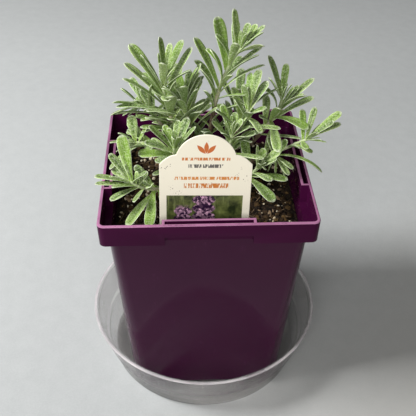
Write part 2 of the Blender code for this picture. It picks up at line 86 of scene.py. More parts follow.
def maths(tree, operation, *values, clamp=False):
    """The output of one arithmetic node."""
    return add_node(tree, "ShaderNodeMath", dict(enumerate(values)), operation=operation,
                    use_clamp=clamp).outputs[0]


def product(tree, first, second, clamp=False):
    """Two numbers multiplied."""
    return maths(tree, "MULTIPLY", first, second, clamp=clamp)


def total(tree, first, second, clamp=False):
    """Two numbers added."""
    return maths(tree, "ADD", first, second, clamp=clamp)


def difference(tree, first, second, clamp=False):
    """The first number less the second."""
    return maths(tree, "SUBTRACT", first, second, clamp=clamp)


def blend_of(tree, amount, first, second, mode="MIX"):
    """The output of a mix between two colours."""
    node = add_node(tree, "ShaderNodeMix", data_type="RGBA", blend_type=mode)
    sockets = {socket.identifier: socket for socket in node.inputs}
    for name, value in (("Factor_Float", amount), ("A_Color", first), ("B_Color", second)):
        if isinstance(value, bpy.types.NodeSocket):
            tree.links.new(value, sockets[name])
        else:
            sockets[name].default_value = value
    return next(socket for socket in node.outputs if socket.identifier == "Result_Color")


def range_of(tree, value, low, high, to_low=0.0, to_high=1.0):
    """A value stretched from one range to another and held within it."""
    return add_node(tree, "ShaderNodeMapRange", {
        "Value": value, "From Min": low, "From Max": high, "To Min": to_low, "To Max": to_high,
    }).outputs["Result"]


def object_place(tree):
    """The place on the object that is being shaded, in metres."""
    return add_node(tree, "ShaderNodeTexCoord").outputs["Object"]


def stretched(tree, place, factors):
    """A place multiplied by a factor for each axis."""
    return add_node(tree, "ShaderNodeVectorMath", {0: place, 1: factors}, operation="MULTIPLY").outputs[0]


def mark_of(tree, name):
    """A number that the mesh carries under a name."""
    return add_node(tree, "ShaderNodeAttribute", attribute_name=name).outputs["Fac"]


def shaded(tree, colour, shade, amount=1.0):
    """A colour multiplied by a shade of grey, as fully as the amount says."""
    grey = add_node(tree, "ShaderNodeCombineColor", dict.fromkeys(("Red", "Green", "Blue"), shade))
    return blend_of(tree, amount, colour, grey.outputs["Color"], mode="MULTIPLY")


def noise_of(tree, place, scale, detail=2.0, roughness=0.5):
    """The value of a noise pattern at a place; scale is in waves per metre."""
    return add_node(tree, "ShaderNodeTexNoise", {
        "Vector": place, "Scale": scale, "Detail": detail, "Roughness": roughness,
    }).outputs["Fac"]


def new_group(name, kind, inputs, outputs):
    """An empty node group with named sockets; returns it with its input and output nodes."""
    group = bpy.data.node_groups.new(name, kind)
    for in_out, sockets in (("INPUT", inputs), ("OUTPUT", outputs)):
        for label, (socket_type, value) in sockets.items():
            socket = group.interface.new_socket(label, in_out=in_out, socket_type=socket_type)
            if value is not None:
                socket.default_value = value
    return group, group.nodes.new("NodeGroupInput"), group.nodes.new("NodeGroupOutput")


NUMBER = "NodeSocketFloat"
WHOLE = "NodeSocketInt"
COLOUR = "NodeSocketColor"
VECTOR = "NodeSocketVector"
SHAPE = "NodeSocketGeometry"
FINISH = "NodeSocketMaterial"


def moulded_skin():
    """Group for moulded plastic: a faint ripple, fine grain and sparse scuffs."""
    group, given, made = new_group(
        "moulded skin", "ShaderNodeTree",
        {"Ripple scale": (NUMBER, 60.0), "Grain scale": (NUMBER, 1500.0), "Scuffing": (NUMBER, 0.5),
         "Stretch": (VECTOR, (1.0, 1.0, 1.0))},
        {"Height": (NUMBER, None), "Scuffs": (NUMBER, None), "Cloud": (NUMBER, None)})
    place = object_place(group)
    drawn_out = stretched(group, place, given.outputs["Stretch"])
    ripple = noise_of(group, drawn_out, given.outputs["Ripple scale"], 3.0, 0.45)
    grain = noise_of(group, place, given.outputs["Grain scale"], 2.0, 0.5)
    streaks = noise_of(group, drawn_out, product(group, given.outputs["Ripple scale"], 9.0), 6.0, 0.7)
    patches = noise_of(group, place, 35.0, 2.0, 0.5)
    scuffs = product(group, range_of(group, streaks, 0.58, 0.74), range_of(group, patches, 0.42, 0.66))
    scuffs = product(group, scuffs, given.outputs["Scuffing"], clamp=True)
    height = total(group, ripple, product(group, grain, 0.08))
    fill(made, {"Height": height, "Scuffs": scuffs, "Cloud": patches})
    return group


MOULDED_SKIN = moulded_skin()


def new_material(name):
    """A material with an empty Principled shader; returns it, its tree and the shader."""
    made = bpy.data.materials.new(name)
    made.use_nodes = True
    return made, made.node_tree, made.node_tree.nodes["Principled BSDF"]


def bump(tree, height, distance):
    """The normal of a surface with this height, which is at most the distance in metres."""
    return add_node(tree, "ShaderNodeBump", {"Height": height, "Distance": distance}).outputs["Normal"]


def clear_sheet():
    """Thin clear thermoformed plastic, faintly rippled and scratched."""
    made, tree, shader = new_material("clear thermoformed sheet")
    skin = add_node(tree, "ShaderNodeGroup", {"Ripple scale": 45.0, "Grain scale": 900.0,
        "Scuffing": 0.9}, node_tree=MOULDED_SKIN)
    colour = blend_of(tree, skin.outputs["Scuffs"], (0.80, 0.77, 0.75, 1.0), (0.88, 0.86, 0.86, 1.0))
    cover = total(tree, 0.56, product(tree, skin.outputs["Scuffs"], 0.3))
    fill(shader, {"Transmission Weight": 1.0, "IOR": 1.44, "Alpha": cover, "Base Color": colour,
        "Roughness": range_of(tree, skin.outputs["Scuffs"], 0.0, 1.0, 0.03, 0.22),
        "Normal": bump(tree, skin.outputs["Height"], 0.25 * MM)})
    return made


def rolled_edge_highlight():
    """The same plastic where it was heated and rolled: hazy, and pale with a painted highlight."""
    made, tree, shader = new_material("rolled sheet edge painted highlight")
    skin = add_node(tree, "ShaderNodeGroup", {"Ripple scale": 300.0}, node_tree=MOULDED_SKIN)
    # Painted highlight: the pale colour stands in for the light the rim catches.
    colour = blend_of(tree, skin.outputs["Cloud"], (0.55, 0.50, 0.54, 1.0), (0.97, 0.94, 0.96, 1.0))
    fill(shader, {"Transmission Weight": 0.35, "IOR": 1.44, "Base Color": colour,
        "Roughness": range_of(tree, skin.outputs["Cloud"], 0.3, 0.7, 0.05, 0.14),
        "Alpha": range_of(tree, skin.outputs["Cloud"], 0.35, 0.65, 0.42, 0.75),
        "Normal": bump(tree, skin.outputs["Height"], 0.3 * MM)})
    return made


def rounded_line(points, radius, steps=5):
    """A flat line of (across, up) points with each inner corner turned into a short arc."""
    line = [points[0]]
    for before, corner, after in zip(points, points[1:], points[2:]):
        to_before = (before - corner).normalized()
        to_after = (after - corner).normalized()
        reach = min(radius, 0.45 * (before - corner).length, 0.45 * (after - corner).length)
        start = corner + to_before * reach
        end = corner + to_after * reach
        for step in range(steps + 1):
            share = step / steps
            line.append(start * (1 - share) ** 2 + corner * 2 * share * (1 - share) + end * share ** 2)
    return line + [points[-1]]


def turned(outline, segments):
    """A closed skin turned about Z from (radius, height) points, seen from outside."""
    shape = bmesh.new()
    rings = []
    for radius, height in outline:
        count = 1 if radius < 1e-7 else segments
        rings.append([shape.verts.new((radius * math.cos(2 * math.pi * step / segments),
                                       radius * math.sin(2 * math.pi * step / segments), height))
                      for step in range(count)])
    for low, high in zip(rings, rings[1:]):
        for step in range(segments):
            following = (step + 1) % segments
            corners = [low[step % len(low)], low[following % len(low)],
                       high[following % len(high)], high[step % len(high)]]
            shape.faces.new(list(dict.fromkeys(corners)))
    return shape


def plain_mesh(name, shape, *materials):
    """A mesh of a finished shape, with its materials."""
    mesh = bpy.data.meshes.new(name)
    shape.to_mesh(mesh)
    shape.free()
    for material in materials:
        mesh.materials.append(material)
    return mesh


def keep_piece(name, mesh, slot, *nodes, smooth_below=35.0):
    """Link a finished mesh as a piece of the part under the root body, and hide the nodes it stands for.
    """
    mesh.shade_smooth()
    mesh.set_sharp_from_angle(angle=math.radians(smooth_below))
    piece = bpy.data.objects.new(name, mesh)
    bpy.context.scene.collection.objects.link(piece)
    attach(piece, "root")
    if nodes:
        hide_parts(*nodes)
    return piece


def make_saucer():
    """The sheet's underside line, its upper side one sheet above, and a rolled edge."""
    line = [Vector((0.0, 0.0))]
    for radius in SAUCER_RIBS:
        for across, up in ((-3.7, 0.0), (-2.2, 1.0), (2.2, 1.0), (3.7, 0.0)):
            line.append(Vector((radius + across * MM, up * SAUCER_RIB_HEIGHT)))
    line += [Vector((SAUCER_BASE_RADIUS - 1.4 * MM, 0.0)), Vector((SAUCER_BASE_RADIUS, 1.4 * MM)),
             Vector((SAUCER_STEP_RADIUS, SAUCER_STEP_HEIGHT)),
             Vector((SAUCER_STEP_RADIUS + 2.2 * MM, SAUCER_STEP_HEIGHT + 1.2 * MM)),
             Vector((SAUCER_RIM_RADIUS - 2.4 * MM, SAUCER_RIM_HEIGHT - 0.5 * MM)),
             Vector((SAUCER_RIM_RADIUS - 0.45 * MM, SAUCER_RIM_HEIGHT))]
    under = rounded_line(line, 1.3 * MM)
    upper = []
    for index, point in enumerate(under):
        along = (under[min(index + 1, len(under) - 1)] - under[max(index - 1, 0)]).normalized()
        upper.append(point + Vector((-along.y, along.x)) * SAUCER_SHEET)
    upper[0] = Vector((0.0, SAUCER_SHEET))
    roll = [under[-1] + Vector((math.sin(a), 1 - math.cos(a))) * SAUCER_SHEET / 2
            for a in (math.radians(36.0 * step) for step in range(1, 5))]
    shape = turned(under + roll + upper[::-1], SAUCER_SEGMENTS)
    for face in shape.faces:
        middle = face.calc_center_median()
        # The outer band of the rim takes the painted highlight.
        if math.hypot(middle.x, middle.y) > SAUCER_RIM_RADIUS - SAUCER_HIGHLIGHT_BAND:
            face.material_index = 1
    mesh = plain_mesh("clear_saucer", shape, clear_sheet(), rolled_edge_highlight())
    keep_piece("clear_saucer", mesh, "clear_plastic", "saucer", smooth_below=60.0)


make_saucer()


# ---- Pot --------------------------------------------------------------------------------------
# A square, tapered nursery pot, injection moulded in dark purple polypropylene. An upright rim
# band stands out on a ledge, and each side has a pocket for a tag. The band's top carries a pale
# painted highlight, and a little torn flash, pale with the same painted highlight, is left where the mould
# parts.

POT_EDGE = 0.45 * MM
HIGHLIGHT_DEPTH = 2.5 * MM
FLASH_HEIGHT = 0.75 * MM
FLASH_LEAST = 0.08 * MM
FLASH_STEPS = 150
pot_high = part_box("pot")[1]


def purple_plastic(name, highlight):
    """Glossy dark purple plastic; highlight is the share of pale painted highlight on it."""
    made, tree, shader = new_material(name)
    skin = add_node(tree, "ShaderNodeGroup", {"Ripple scale": 38.0, "Grain scale": 2600.0, "Scuffing": 0.8,
        "Stretch": (1.0, 1.0, 0.35)}, node_tree=MOULDED_SKIN)
    deep = (0.038, 0.0030, 0.026, 1.0)
    warm = (0.046, 0.0042, 0.031, 1.0)
    colour = blend_of(tree, skin.outputs["Cloud"], deep, warm)
    # Painted highlight: pale lilac where light catches the rim, as much as highlight says.
    painted_light = product(tree, highlight, range_of(tree, skin.outputs["Cloud"], 0.35, 0.65, 0.5, 1.0))
    colour = blend_of(tree, painted_light, colour, (0.480, 0.215, 0.375, 1.0))
    colour = blend_of(tree, product(tree, skin.outputs["Scuffs"], 0.15), colour,
                      (0.230, 0.060, 0.180, 1.0))
    roughness = range_of(tree, skin.outputs["Cloud"], 0.3, 0.7, 0.06, 0.10)
    roughness = total(tree, roughness, product(tree, skin.outputs["Scuffs"], 0.12))
    fill(shader, {"Base Color": colour, "Roughness": roughness, "IOR": 1.42, "Specular IOR Level": 0.12,
        "Normal": bump(tree, skin.outputs["Height"], 0.03 * MM)})
    return made


PURPLE_PLASTIC = purple_plastic("purple polypropylene", 0.0)
RIM_HIGHLIGHT = purple_plastic("purple rim painted highlight", 0.8)


def make_pot():
    """The moulding with its sharp edges eased, and a pale painted highlight along the top of the rim."""
    shape = bmesh.new()
    shape.from_mesh(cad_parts["pot"].data)
    bmesh.ops.remove_doubles(shape, verts=shape.verts, dist=1e-6)
    bmesh.ops.dissolve_limit(shape, angle_limit=math.radians(0.6), verts=shape.verts, edges=shape.edges)
    mesh = plain_mesh("sharp_pot", shape, PURPLE_PLASTIC, RIM_HIGHLIGHT)
    sharp = bpy.data.objects.new("sharp_pot", mesh)
    bpy.context.scene.collection.objects.link(sharp)
    eased = sharp.modifiers.new("eased edges", "BEVEL")
    eased.width = POT_EDGE
    eased.segments = 2
    eased.limit_method = "ANGLE"
    eased.angle_limit = math.radians(38.0)
    eased.material = 1
    graph = bpy.context.evaluated_depsgraph_get()
    mesh = bpy.data.meshes.new_from_object(sharp.evaluated_get(graph), depsgraph=graph)
    bpy.data.objects.remove(sharp)
    # Eased edges and upward faces near the top of the rim carry the painted highlight.
    for face in mesh.polygons:
        if face.center.z < pot_high.z - HIGHLIGHT_DEPTH:
            face.material_index = 0
        elif face.normal.z > 0.6:
            face.material_index = 1
    keep_piece("purple_pot", mesh, "purple_plastic", "pot", smooth_below=22.0)


make_pot()


def make_rim_flash():
    """Thin, torn slivers of plastic along the rim where the mould's halves met, pale with the painted
    highlight.
    """
    inner = pot_high.x - 3.2 * MM
    shape = bmesh.new()
    for quarter in range(4):
        turn = Matrix.Rotation(math.radians(90.0 * quarter), 3, "Z")
        for step in range(FLASH_STEPS):
            x = -inner + 2 * inner * step / FLASH_STEPS
            sliver = noise.noise(Vector((x * 130.0, quarter * 7.3, 0.5)))
            sliver += 0.6 * noise.noise(Vector((x * 700.0, quarter * 3.1, 4.5)))
            height = FLASH_HEIGHT * sliver
            if height < FLASH_LEAST:
                continue
            wide = 2 * inner / FLASH_STEPS * 0.7
            across = pot_high.x - 0.55 * MM
            corners = [(x - wide, -across, -0.15 * MM), (x + wide, -across, -0.15 * MM),
                       (x + wide * 0.5, -across - 0.25 * height, height),
                       (x - wide * 0.6, -across - 0.12 * height, height * 0.8)]
            rows = [[shape.verts.new(turn @ Vector((a, b + thick, pot_high.z + c))) for a, b, c in corners]
                    for thick in (0.0, 0.16 * MM)]
            shape.faces.new(rows[0])
            shape.faces.new(rows[1][::-1])
            for index in range(4):
                following = (index + 1) % 4
                shape.faces.new((rows[0][following], rows[0][index], rows[1][index], rows[1][following]))
    keep_piece("rim_flash", plain_mesh("rim_flash", shape, RIM_HIGHLIGHT), "purple_plastic")


make_rim_flash()


# ---- Potting mix ------------------------------------------------------------------------------
# Moist peat with composted bark, coarse fibre and white perlite, pressed round the crown and
# left a little lumpy. One dense bed fills the pot, and loose bits lie over its top.

soil_low, soil_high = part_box("potting_mix")
SOIL_HALF = soil_high.x
SOIL_RIM_HEIGHT = 129.0 * MM
SOIL_MOUND = 2.2 * MM
SOIL_CORNER = 6.0 * MM
SOIL_RINGS = 44
SOIL_SEED = 7


def crumbly():
    """Group for peat: dark and light crumbs of two sizes, and the height of the same crumbs."""
    group, given, made = new_group(
        "crumbly peat", "ShaderNodeTree",
        {"Crumb scale": (NUMBER, 520.0), "Fibre": (NUMBER, 0.5)},
        {"Colour": (COLOUR, None), "Height": (NUMBER, None)})
    place = object_place(group)
    scale = given.outputs["Crumb scale"]
    crumbs = add_node(group, "ShaderNodeTexVoronoi", {"Vector": place, "Scale": scale})
    fine = noise_of(group, place, product(group, scale, 2.6), 4.0, 0.65)
    broad = noise_of(group, place, product(group, scale, 0.16), 3.0, 0.55)
    tone = add_node(group, "ShaderNodeSeparateColor", {"Color": crumbs.outputs["Color"]}).outputs["Red"]
    tone = total(group, product(group, tone, 0.55), product(group, fine, 0.45))
    ramp = add_node(group, "ShaderNodeValToRGB", {"Fac": tone})
    stops = ramp.color_ramp
    stops.elements[0].position, stops.elements[0].color = 0.18, (0.004, 0.0022, 0.0012, 1.0)
    stops.elements[1].position, stops.elements[1].color = 0.92, (0.115, 0.072, 0.036, 1.0)
    for position, colour in ((0.45, (0.016, 0.009, 0.005, 1.0)), (0.72, (0.045, 0.026, 0.013, 1.0))):
        stops.elements.new(position).color = colour
    damp = range_of(group, broad, 0.35, 0.65, 0.55, 1.25)
    colour = shaded(group, ramp.outputs["Color"], damp, given.outputs["Fibre"])
    height = difference(group, fine, crumbs.outputs["Distance"])
    fill(made, {"Colour": colour, "Height": height})
    return group


CRUMBLY = crumbly()


def soil_material(name, crumb_scale, lift, depth):
    """Peat of a crumb size; lift is a colour that each loose bit is tinted towards."""
    made, tree, shader = new_material(name)
    peat = add_node(tree, "ShaderNodeGroup", {"Crumb scale": crumb_scale, "Fibre": 0.8}, node_tree=CRUMBLY)
    colour = peat.outputs["Colour"]
    if lift:
        tone = mark_of(tree, "tone")
        colour = blend_of(tree, maths(tree, "POWER", tone, 3.2), colour, lift)
    fill(shader, {"Base Color": colour, "Roughness": 0.92, "Specular IOR Level": 0.25,
        "Normal": bump(tree, peat.outputs["Height"], depth)})
    return made


def rounded_square(half, radius, height, corner_steps=5, side_steps=24):
    """Points round a square with rounded corners, anticlockwise from the +X side."""
    points = []
    inner = half - radius
    for quarter in range(4):
        turn = Matrix.Rotation(math.radians(90.0 * quarter), 3, "Z")
        for step in range(1, side_steps):
            points.append(turn @ Vector((half, -inner + 2 * inner * step / side_steps, height)))
        for step in range(corner_steps + 1):
            angle = math.radians(90.0 * step / corner_steps)
            corner = Vector((inner + radius * math.cos(angle), inner + radius * math.sin(angle), height))
            points.append(turn @ corner)
    return points


def skin_of(rings):
    """A closed skin over rings of as many points each, which run anticlockwise from above."""
    shape = bmesh.new()
    rows = [[shape.verts.new(point) for point in ring] for ring in rings]
    for low, high in zip(rows, rows[1:]):
        for step in range(len(low)):
            following = (step + 1) % len(low)
            shape.faces.new((low[step], low[following], high[following], high[step]))
    shape.faces.new(rows[0][::-1])
    shape.faces.new(rows[-1])
    return shape


def make_soil_bed():
    """The bed's sides follow the pot, and its top is lumpy and mounds a little at the crown."""
    rings = [rounded_square(SOIL_HALF - 5.6 * MM, SOIL_CORNER + 4.0 * MM, soil_low.z)]
    for step in range(SOIL_RINGS):
        share = 1.0 - step / SOIL_RINGS
        ring = rounded_square(SOIL_HALF * share, SOIL_CORNER * share, SOIL_RIM_HEIGHT)
        for point in ring:
            near = min(1.0, 6.0 * (1.0 - share))
            lumps = 1.3 * noise.noise(point * 90.0) + 0.9 * noise.noise(point * 240.0)
            lumps += 0.55 * noise.noise(point * 620.0) + 0.3 * noise.noise(point * 1300.0)
            point.z += SOIL_MOUND * (1 - share) + (0.4 + 0.6 * near) * lumps * MM
        rings.append(ring)
    mesh = plain_mesh("potting_mix_bed", skin_of(rings), soil_material("peat bed", 560.0, None, 0.9 * MM))
    keep_piece("potting_mix_bed", mesh, "potting_mix", "potting_mix", smooth_below=60.0)
    return mesh


def scatter_tree():
    """Tree that strews one kind of rough bit over the top of a bed and sinks it in a little."""
    tree, given, made = new_group(
        "strewn bits", "GeometryNodeTree",
        {"Geometry": (SHAPE, None), "Density": (NUMBER, 1000.0), "Smallest": (NUMBER, 0.0005),
         "Largest": (NUMBER, 0.002), "Length": (NUMBER, 1.0), "Flatness": (NUMBER, 1.0),
         "Roughness": (NUMBER, 0.3), "Lift": (NUMBER, 0.0), "Seed": (WHOLE, 0),
         "Material": (FINISH, None)},
        {"Geometry": (SHAPE, None)})
    value = given.outputs
    facing = add_node(tree, "ShaderNodeSeparateXYZ", {0: add_node(
        tree, "GeometryNodeInputNormal").outputs[0]}).outputs["Z"]
    upwards = add_node(tree, "FunctionNodeCompare", {0: facing, 1: 0.3}, operation="GREATER_THAN")
    strewn = add_node(tree, "GeometryNodeDistributePointsOnFaces", {
        "Mesh": value["Geometry"], "Selection": upwards.outputs[0], "Density": value["Density"],
        "Seed": value["Seed"]})
    bit = add_node(tree, "GeometryNodeMeshIcoSphere", {"Radius": 1.0, "Subdivisions": 2})
    turn = add_node(tree, "FunctionNodeRandomValue", {
        0: (-0.5, -0.5, 0.0), 1: (0.5, 0.5, 2 * math.pi), "Seed": value["Seed"]},
        data_type="FLOAT_VECTOR")
    size = add_node(tree, "FunctionNodeRandomValue", {
        2: 0.0, 3: 1.0, "Seed": total(tree, value["Seed"], 1.0)}, data_type="FLOAT")
    size = add_node(tree, "ShaderNodeMapRange", {
        "Value": maths(tree, "POWER", size.outputs[1], 2.2), "To Min": value["Smallest"],
        "To Max": value["Largest"]}).outputs["Result"]
    scale = add_node(tree, "ShaderNodeCombineXYZ", {
        "X": product(tree, size, value["Length"]), "Y": size,
        "Z": product(tree, size, value["Flatness"])})
    placed = add_node(tree, "GeometryNodeInstanceOnPoints", {
        "Points": strewn.outputs["Points"], "Instance": bit.outputs["Mesh"],
        "Rotation": turn.outputs[0], "Scale": scale.outputs[0]})
    tone = add_node(tree, "FunctionNodeRandomValue", {
        2: 0.0, 3: 1.0, "Seed": total(tree, value["Seed"], 2.0)}, data_type="FLOAT")
    toned = add_node(tree, "GeometryNodeStoreNamedAttribute", {
        "Geometry": placed.outputs[0], "Name": "tone", "Value": tone.outputs[1]},
        data_type="FLOAT", domain="INSTANCE")
    solid = add_node(tree, "GeometryNodeRealizeInstances", {0: toned.outputs[0]})
    place = add_node(tree, "GeometryNodeInputPosition").outputs[0]
    warp = add_node(tree, "ShaderNodeTexNoise", {"Vector": place, "Scale": 900.0, "Detail": 1.0})
    centred = add_node(tree, "ShaderNodeVectorMath", {0: warp.outputs["Color"], 1: (0.5, 0.5, 0.5)},
                       operation="SUBTRACT")
    push = add_node(tree, "ShaderNodeVectorMath", {
        0: centred.outputs[0], "Scale": product(tree, value["Largest"], value["Roughness"])},
        operation="SCALE")
    lifted = add_node(tree, "ShaderNodeVectorMath", {0: push.outputs[0], 1: add_node(
        tree, "ShaderNodeCombineXYZ", {"Z": value["Lift"]}).outputs[0]}, operation="ADD")
    rough = add_node(tree, "GeometryNodeSetPosition", {
        "Geometry": solid.outputs[0], "Offset": lifted.outputs[0]})
    finished = add_node(tree, "GeometryNodeSetMaterial", {
        "Geometry": rough.outputs[0], "Material": value["Material"]})
    fill(made, {"Geometry": finished.outputs[0]})
    return tree


def grow(name, mesh, tree, values):
    """Run a tree on a mesh and return the result as a plain mesh."""
    guide = bpy.data.objects.new(name + "_guide", mesh)
    bpy.context.scene.collection.objects.link(guide)
    modifier = guide.modifiers.new("tree", "NODES")
    modifier.node_group = tree
    for socket in tree.interface.items_tree:
        if socket.in_out == "INPUT" and socket.name in values:
            modifier[socket.identifier] = values[socket.name]
    graph = bpy.context.evaluated_depsgraph_get()
    grown = bpy.data.meshes.new_from_object(
        guide.evaluated_get(graph), preserve_all_data_layers=True, depsgraph=graph)
    grown.name = name
    bpy.data.objects.remove(guide)
    return grown


def bit_material(name, roughness, relief, darkest, palest, spots, spot_scale, spot_range, cover):
    """Loose bits that differ in tone and are marked with darker spots or streaks."""
    made, tree, shader = new_material(name)
    marks = noise_of(tree, object_place(tree), *spot_scale)
    colour = blend_of(tree, mark_of(tree, "tone"), darkest, palest)
    colour = blend_of(tree, range_of(tree, marks, *spot_range, 0.0, cover), colour, spots)
    fill(shader, {"Base Color": colour, "Roughness": roughness, "Normal": bump(tree, marks, relief)})
    return made


BARK_CHIPS = bit_material(
    "bark chips", 0.85, 0.3 * MM, (0.028, 0.013, 0.006, 1.0), (0.38, 0.26, 0.145, 1.0),
    (0.03, 0.015, 0.008, 1.0), (1400.0, 4.0, 0.6), (0.35, 0.65), 0.6)
PERLITE = bit_material(
    "perlite", 0.9, 0.25 * MM, (0.50, 0.40, 0.25, 1.0), (0.90, 0.83, 0.66, 1.0),
    (0.10, 0.07, 0.045, 1.0), (1800.0, 3.0, 0.6), (0.5, 0.72), 0.7)


def make_loose_mix(bed):
    """Crumbs, bark, fibres and perlite, each strewn by the same tree."""
    strew = scatter_tree()
    top = bed.copy()
    shape = bmesh.new()
    shape.from_mesh(top)
    outside = []
    for face in shape.faces:
        middle = face.calc_center_median()
        off_centre = max(abs(middle.x), abs(middle.y))
        if middle.z <= SOIL_RIM_HEIGHT - 4.0 * MM or off_centre >= SOIL_HALF - 2.0 * MM:
            outside.append(face)
    bmesh.ops.delete(shape, geom=outside, context="FACES")
    shape.to_mesh(top)
    shape.free()
    kinds = (
        ("peat_crumbs", soil_material("loose peat", 800.0, (0.135, 0.080, 0.028, 1.0), 0.5 * MM),
         dict(Density=115000.0, Smallest=0.55 * MM, Largest=2.0 * MM, Length=1.15, Flatness=0.8,
              Roughness=0.75, Lift=0.2 * MM, Seed=SOIL_SEED)),
        ("bark_bits", BARK_CHIPS,
         dict(Density=17000.0, Smallest=0.4 * MM, Largest=1.2 * MM, Length=2.6, Flatness=0.55,
              Roughness=0.55, Lift=0.6 * MM, Seed=SOIL_SEED + 11)),
        ("coarse_fibres", BARK_CHIPS,
         dict(Density=9000.0, Smallest=0.16 * MM, Largest=0.34 * MM, Length=14.0, Flatness=1.0,
              Roughness=2.2, Lift=1.1 * MM, Seed=SOIL_SEED + 23)),
        ("perlite_beads", PERLITE,
         dict(Density=34000.0, Smallest=0.28 * MM, Largest=1.35 * MM, Length=1.1, Flatness=0.9,
              Roughness=0.5, Lift=0.5 * MM, Seed=SOIL_SEED + 37)),
    )
    for name, material, values in kinds:
        mesh = grow(name, top, strew, dict(values, Material=material))
        keep_piece(name, mesh, "potting_mix", smooth_below=40.0)


make_loose_mix(make_soil_bed())


# ---- Plant tag --------------------------------------------------------------------------------
# A stiff printed plastic tag with an arched top, cut from sheet and pushed into the mix against
# the front wall. Its print is kept plain and says nothing: a three-leaf sprig, four lines of
# meaningless strokes and a picture of flower spikes.

TAG_THICKNESS = 0.8 * MM
TAG_WIDTH = 49.0 * MM
TAG_PLACE = Vector((-2.6, -48.0, 130.0)) * MM
TAG_LEAN = math.radians(5.0)
TAG_ROLL = math.radians(1.3)
TAG_SHOULDER = 49.3 * MM
TAG_SHOULDER_REACH = 8.2 * MM
TAG_SHOULDER_DROP = 5.5 * MM
TAG_SHOULDER_CURVE = 1.7
TAG_ARCH_RADIUS = 16.3 * MM
TAG_TOP = 66.6 * MM
TAG_STAKE_SHOULDER = -10.0 * MM
TAG_STAKE_TIP = -30.0 * MM
TAG_STAKE_HALF = 4.0 * MM


def tag_outline():
    """Right half of the outline, from the stake's tip up to the top of the arch."""
    half = TAG_WIDTH / 2
    points = [(0.0, TAG_STAKE_TIP), (TAG_STAKE_HALF, TAG_STAKE_TIP + 7.0 * MM),
              (TAG_STAKE_HALF + 2.0 * MM, TAG_STAKE_SHOULDER - 5.0 * MM), (half, TAG_STAKE_SHOULDER)]
    points += [(half, TAG_STAKE_SHOULDER + (TAG_SHOULDER - TAG_STAKE_SHOULDER) * step / 6)
               for step in range(1, 6)]
    for step in range(13):
        share = 1.0 - step / 12
        points.append((half - TAG_SHOULDER_REACH * (1.0 - share),
                       TAG_SHOULDER + TAG_SHOULDER_DROP * (1.0 - share ** TAG_SHOULDER_CURVE)))
    arch_centre = TAG_TOP - TAG_ARCH_RADIUS
    for step in range(21):
        angle = math.radians(17.0 + 73.0 * step / 20)
        points.append((TAG_ARCH_RADIUS * math.cos(angle), arch_centre + TAG_ARCH_RADIUS * math.sin(angle)))
    return points


def tag_mask(tree, across, up, centre, half_size, soft):
    """One inside a box on the tag's face and nought outside, with a soft edge."""
    masks = []
    for value, middle, half in zip((across, up), centre, half_size):
        off = maths(tree, "ABSOLUTE", difference(tree, value, middle * MM))
        masks.append(range_of(tree, off, half * MM + soft, half * MM - soft))
    return product(tree, *masks)


def spike_mask(tree, place, across, up, foot, height, half_width):
    """A flower spike that stands on the tag at foot: whorls of small florets."""
    rise = maths(tree, "DIVIDE", difference(tree, up, foot[1] * MM), height * MM)
    off = maths(tree, "ABSOLUTE", difference(tree, across, foot[0] * MM))
    whorl = maths(tree, "ABSOLUTE", maths(tree, "SINE", product(tree, rise, 17.0)))
    width = product(tree, total(tree, 0.62, product(tree, whorl, 0.38)), half_width * MM)
    ragged = product(tree, difference(tree, noise_of(tree, place, 700.0), 0.5), 1.6 * MM)
    edge = difference(tree, total(tree, width, ragged), off)
    body = range_of(tree, edge, 0.0, 0.5 * MM)
    ends = product(tree, range_of(tree, rise, 0.0, 0.05), range_of(tree, rise, 1.0, 0.9))
    return product(tree, body, ends)


def flower_picture(tree, flat, across, up):
    """Purple spikes on dark, leafy green."""
    leafy = noise_of(tree, flat, 160.0, 3.0, 0.6)
    picture = blend_of(tree, range_of(tree, leafy, 0.35, 0.65), (0.014, 0.022, 0.006, 1.0),
                       (0.135, 0.160, 0.045, 1.0))
    stalks = noise_of(tree, stretched(tree, flat, (7.0, 1.0, 1.0)), 60.0, 2.0)
    stalks = product(tree, range_of(tree, stalks, 0.56, 0.64), 0.5)
    picture = blend_of(tree, stalks, picture, (0.23, 0.27, 0.10, 1.0))
    florets = add_node(tree, "ShaderNodeTexVoronoi", {"Vector": flat, "Scale": 850.0})
    tone = add_node(tree, "ShaderNodeSeparateColor", {"Color": florets.outputs["Color"]}).outputs["Red"]
    purple = blend_of(tree, maths(tree, "POWER", tone, 2.8), (0.016, 0.002, 0.026, 1.0),
                      (0.66, 0.38, 0.54, 1.0))
    for foot, height, half_width in (((-11.8, -1.0), 25.5, 5.2), ((-0.6, 3.0), 29.4, 6.6)):
        spike = spike_mask(tree, flat, across, up, foot, height, half_width)
        picture = blend_of(tree, spike, picture, purple)
    return picture


def stroke_lines(tree, flat, across, up, face):
    """Four lines of short upright strokes that spell nothing: place, half size and ink."""
    strokes = noise_of(tree, stretched(tree, flat, (1.0, 0.2, 1.0)), 1300.0, 2.0)
    strokes = range_of(tree, strokes, 0.42, 0.50)
    for middle, half_size, ink in (((0.0, 52.6), (12.6, 0.85), (0.60, 0.19, 0.040, 1.0)),
                                   ((0.0, 48.4), (9.2, 1.05), (0.13, 0.12, 0.11, 1.0)),
                                   ((0.6, 41.0), (17.2, 0.95), (0.66, 0.24, 0.050, 1.0)),
                                   ((0.4, 36.4), (11.8, 1.45), (0.60, 0.20, 0.040, 1.0))):
        line = tag_mask(tree, across, up, middle, half_size, 0.15 * MM)
        face = blend_of(tree, product(tree, line, strokes), face, ink)
    return face


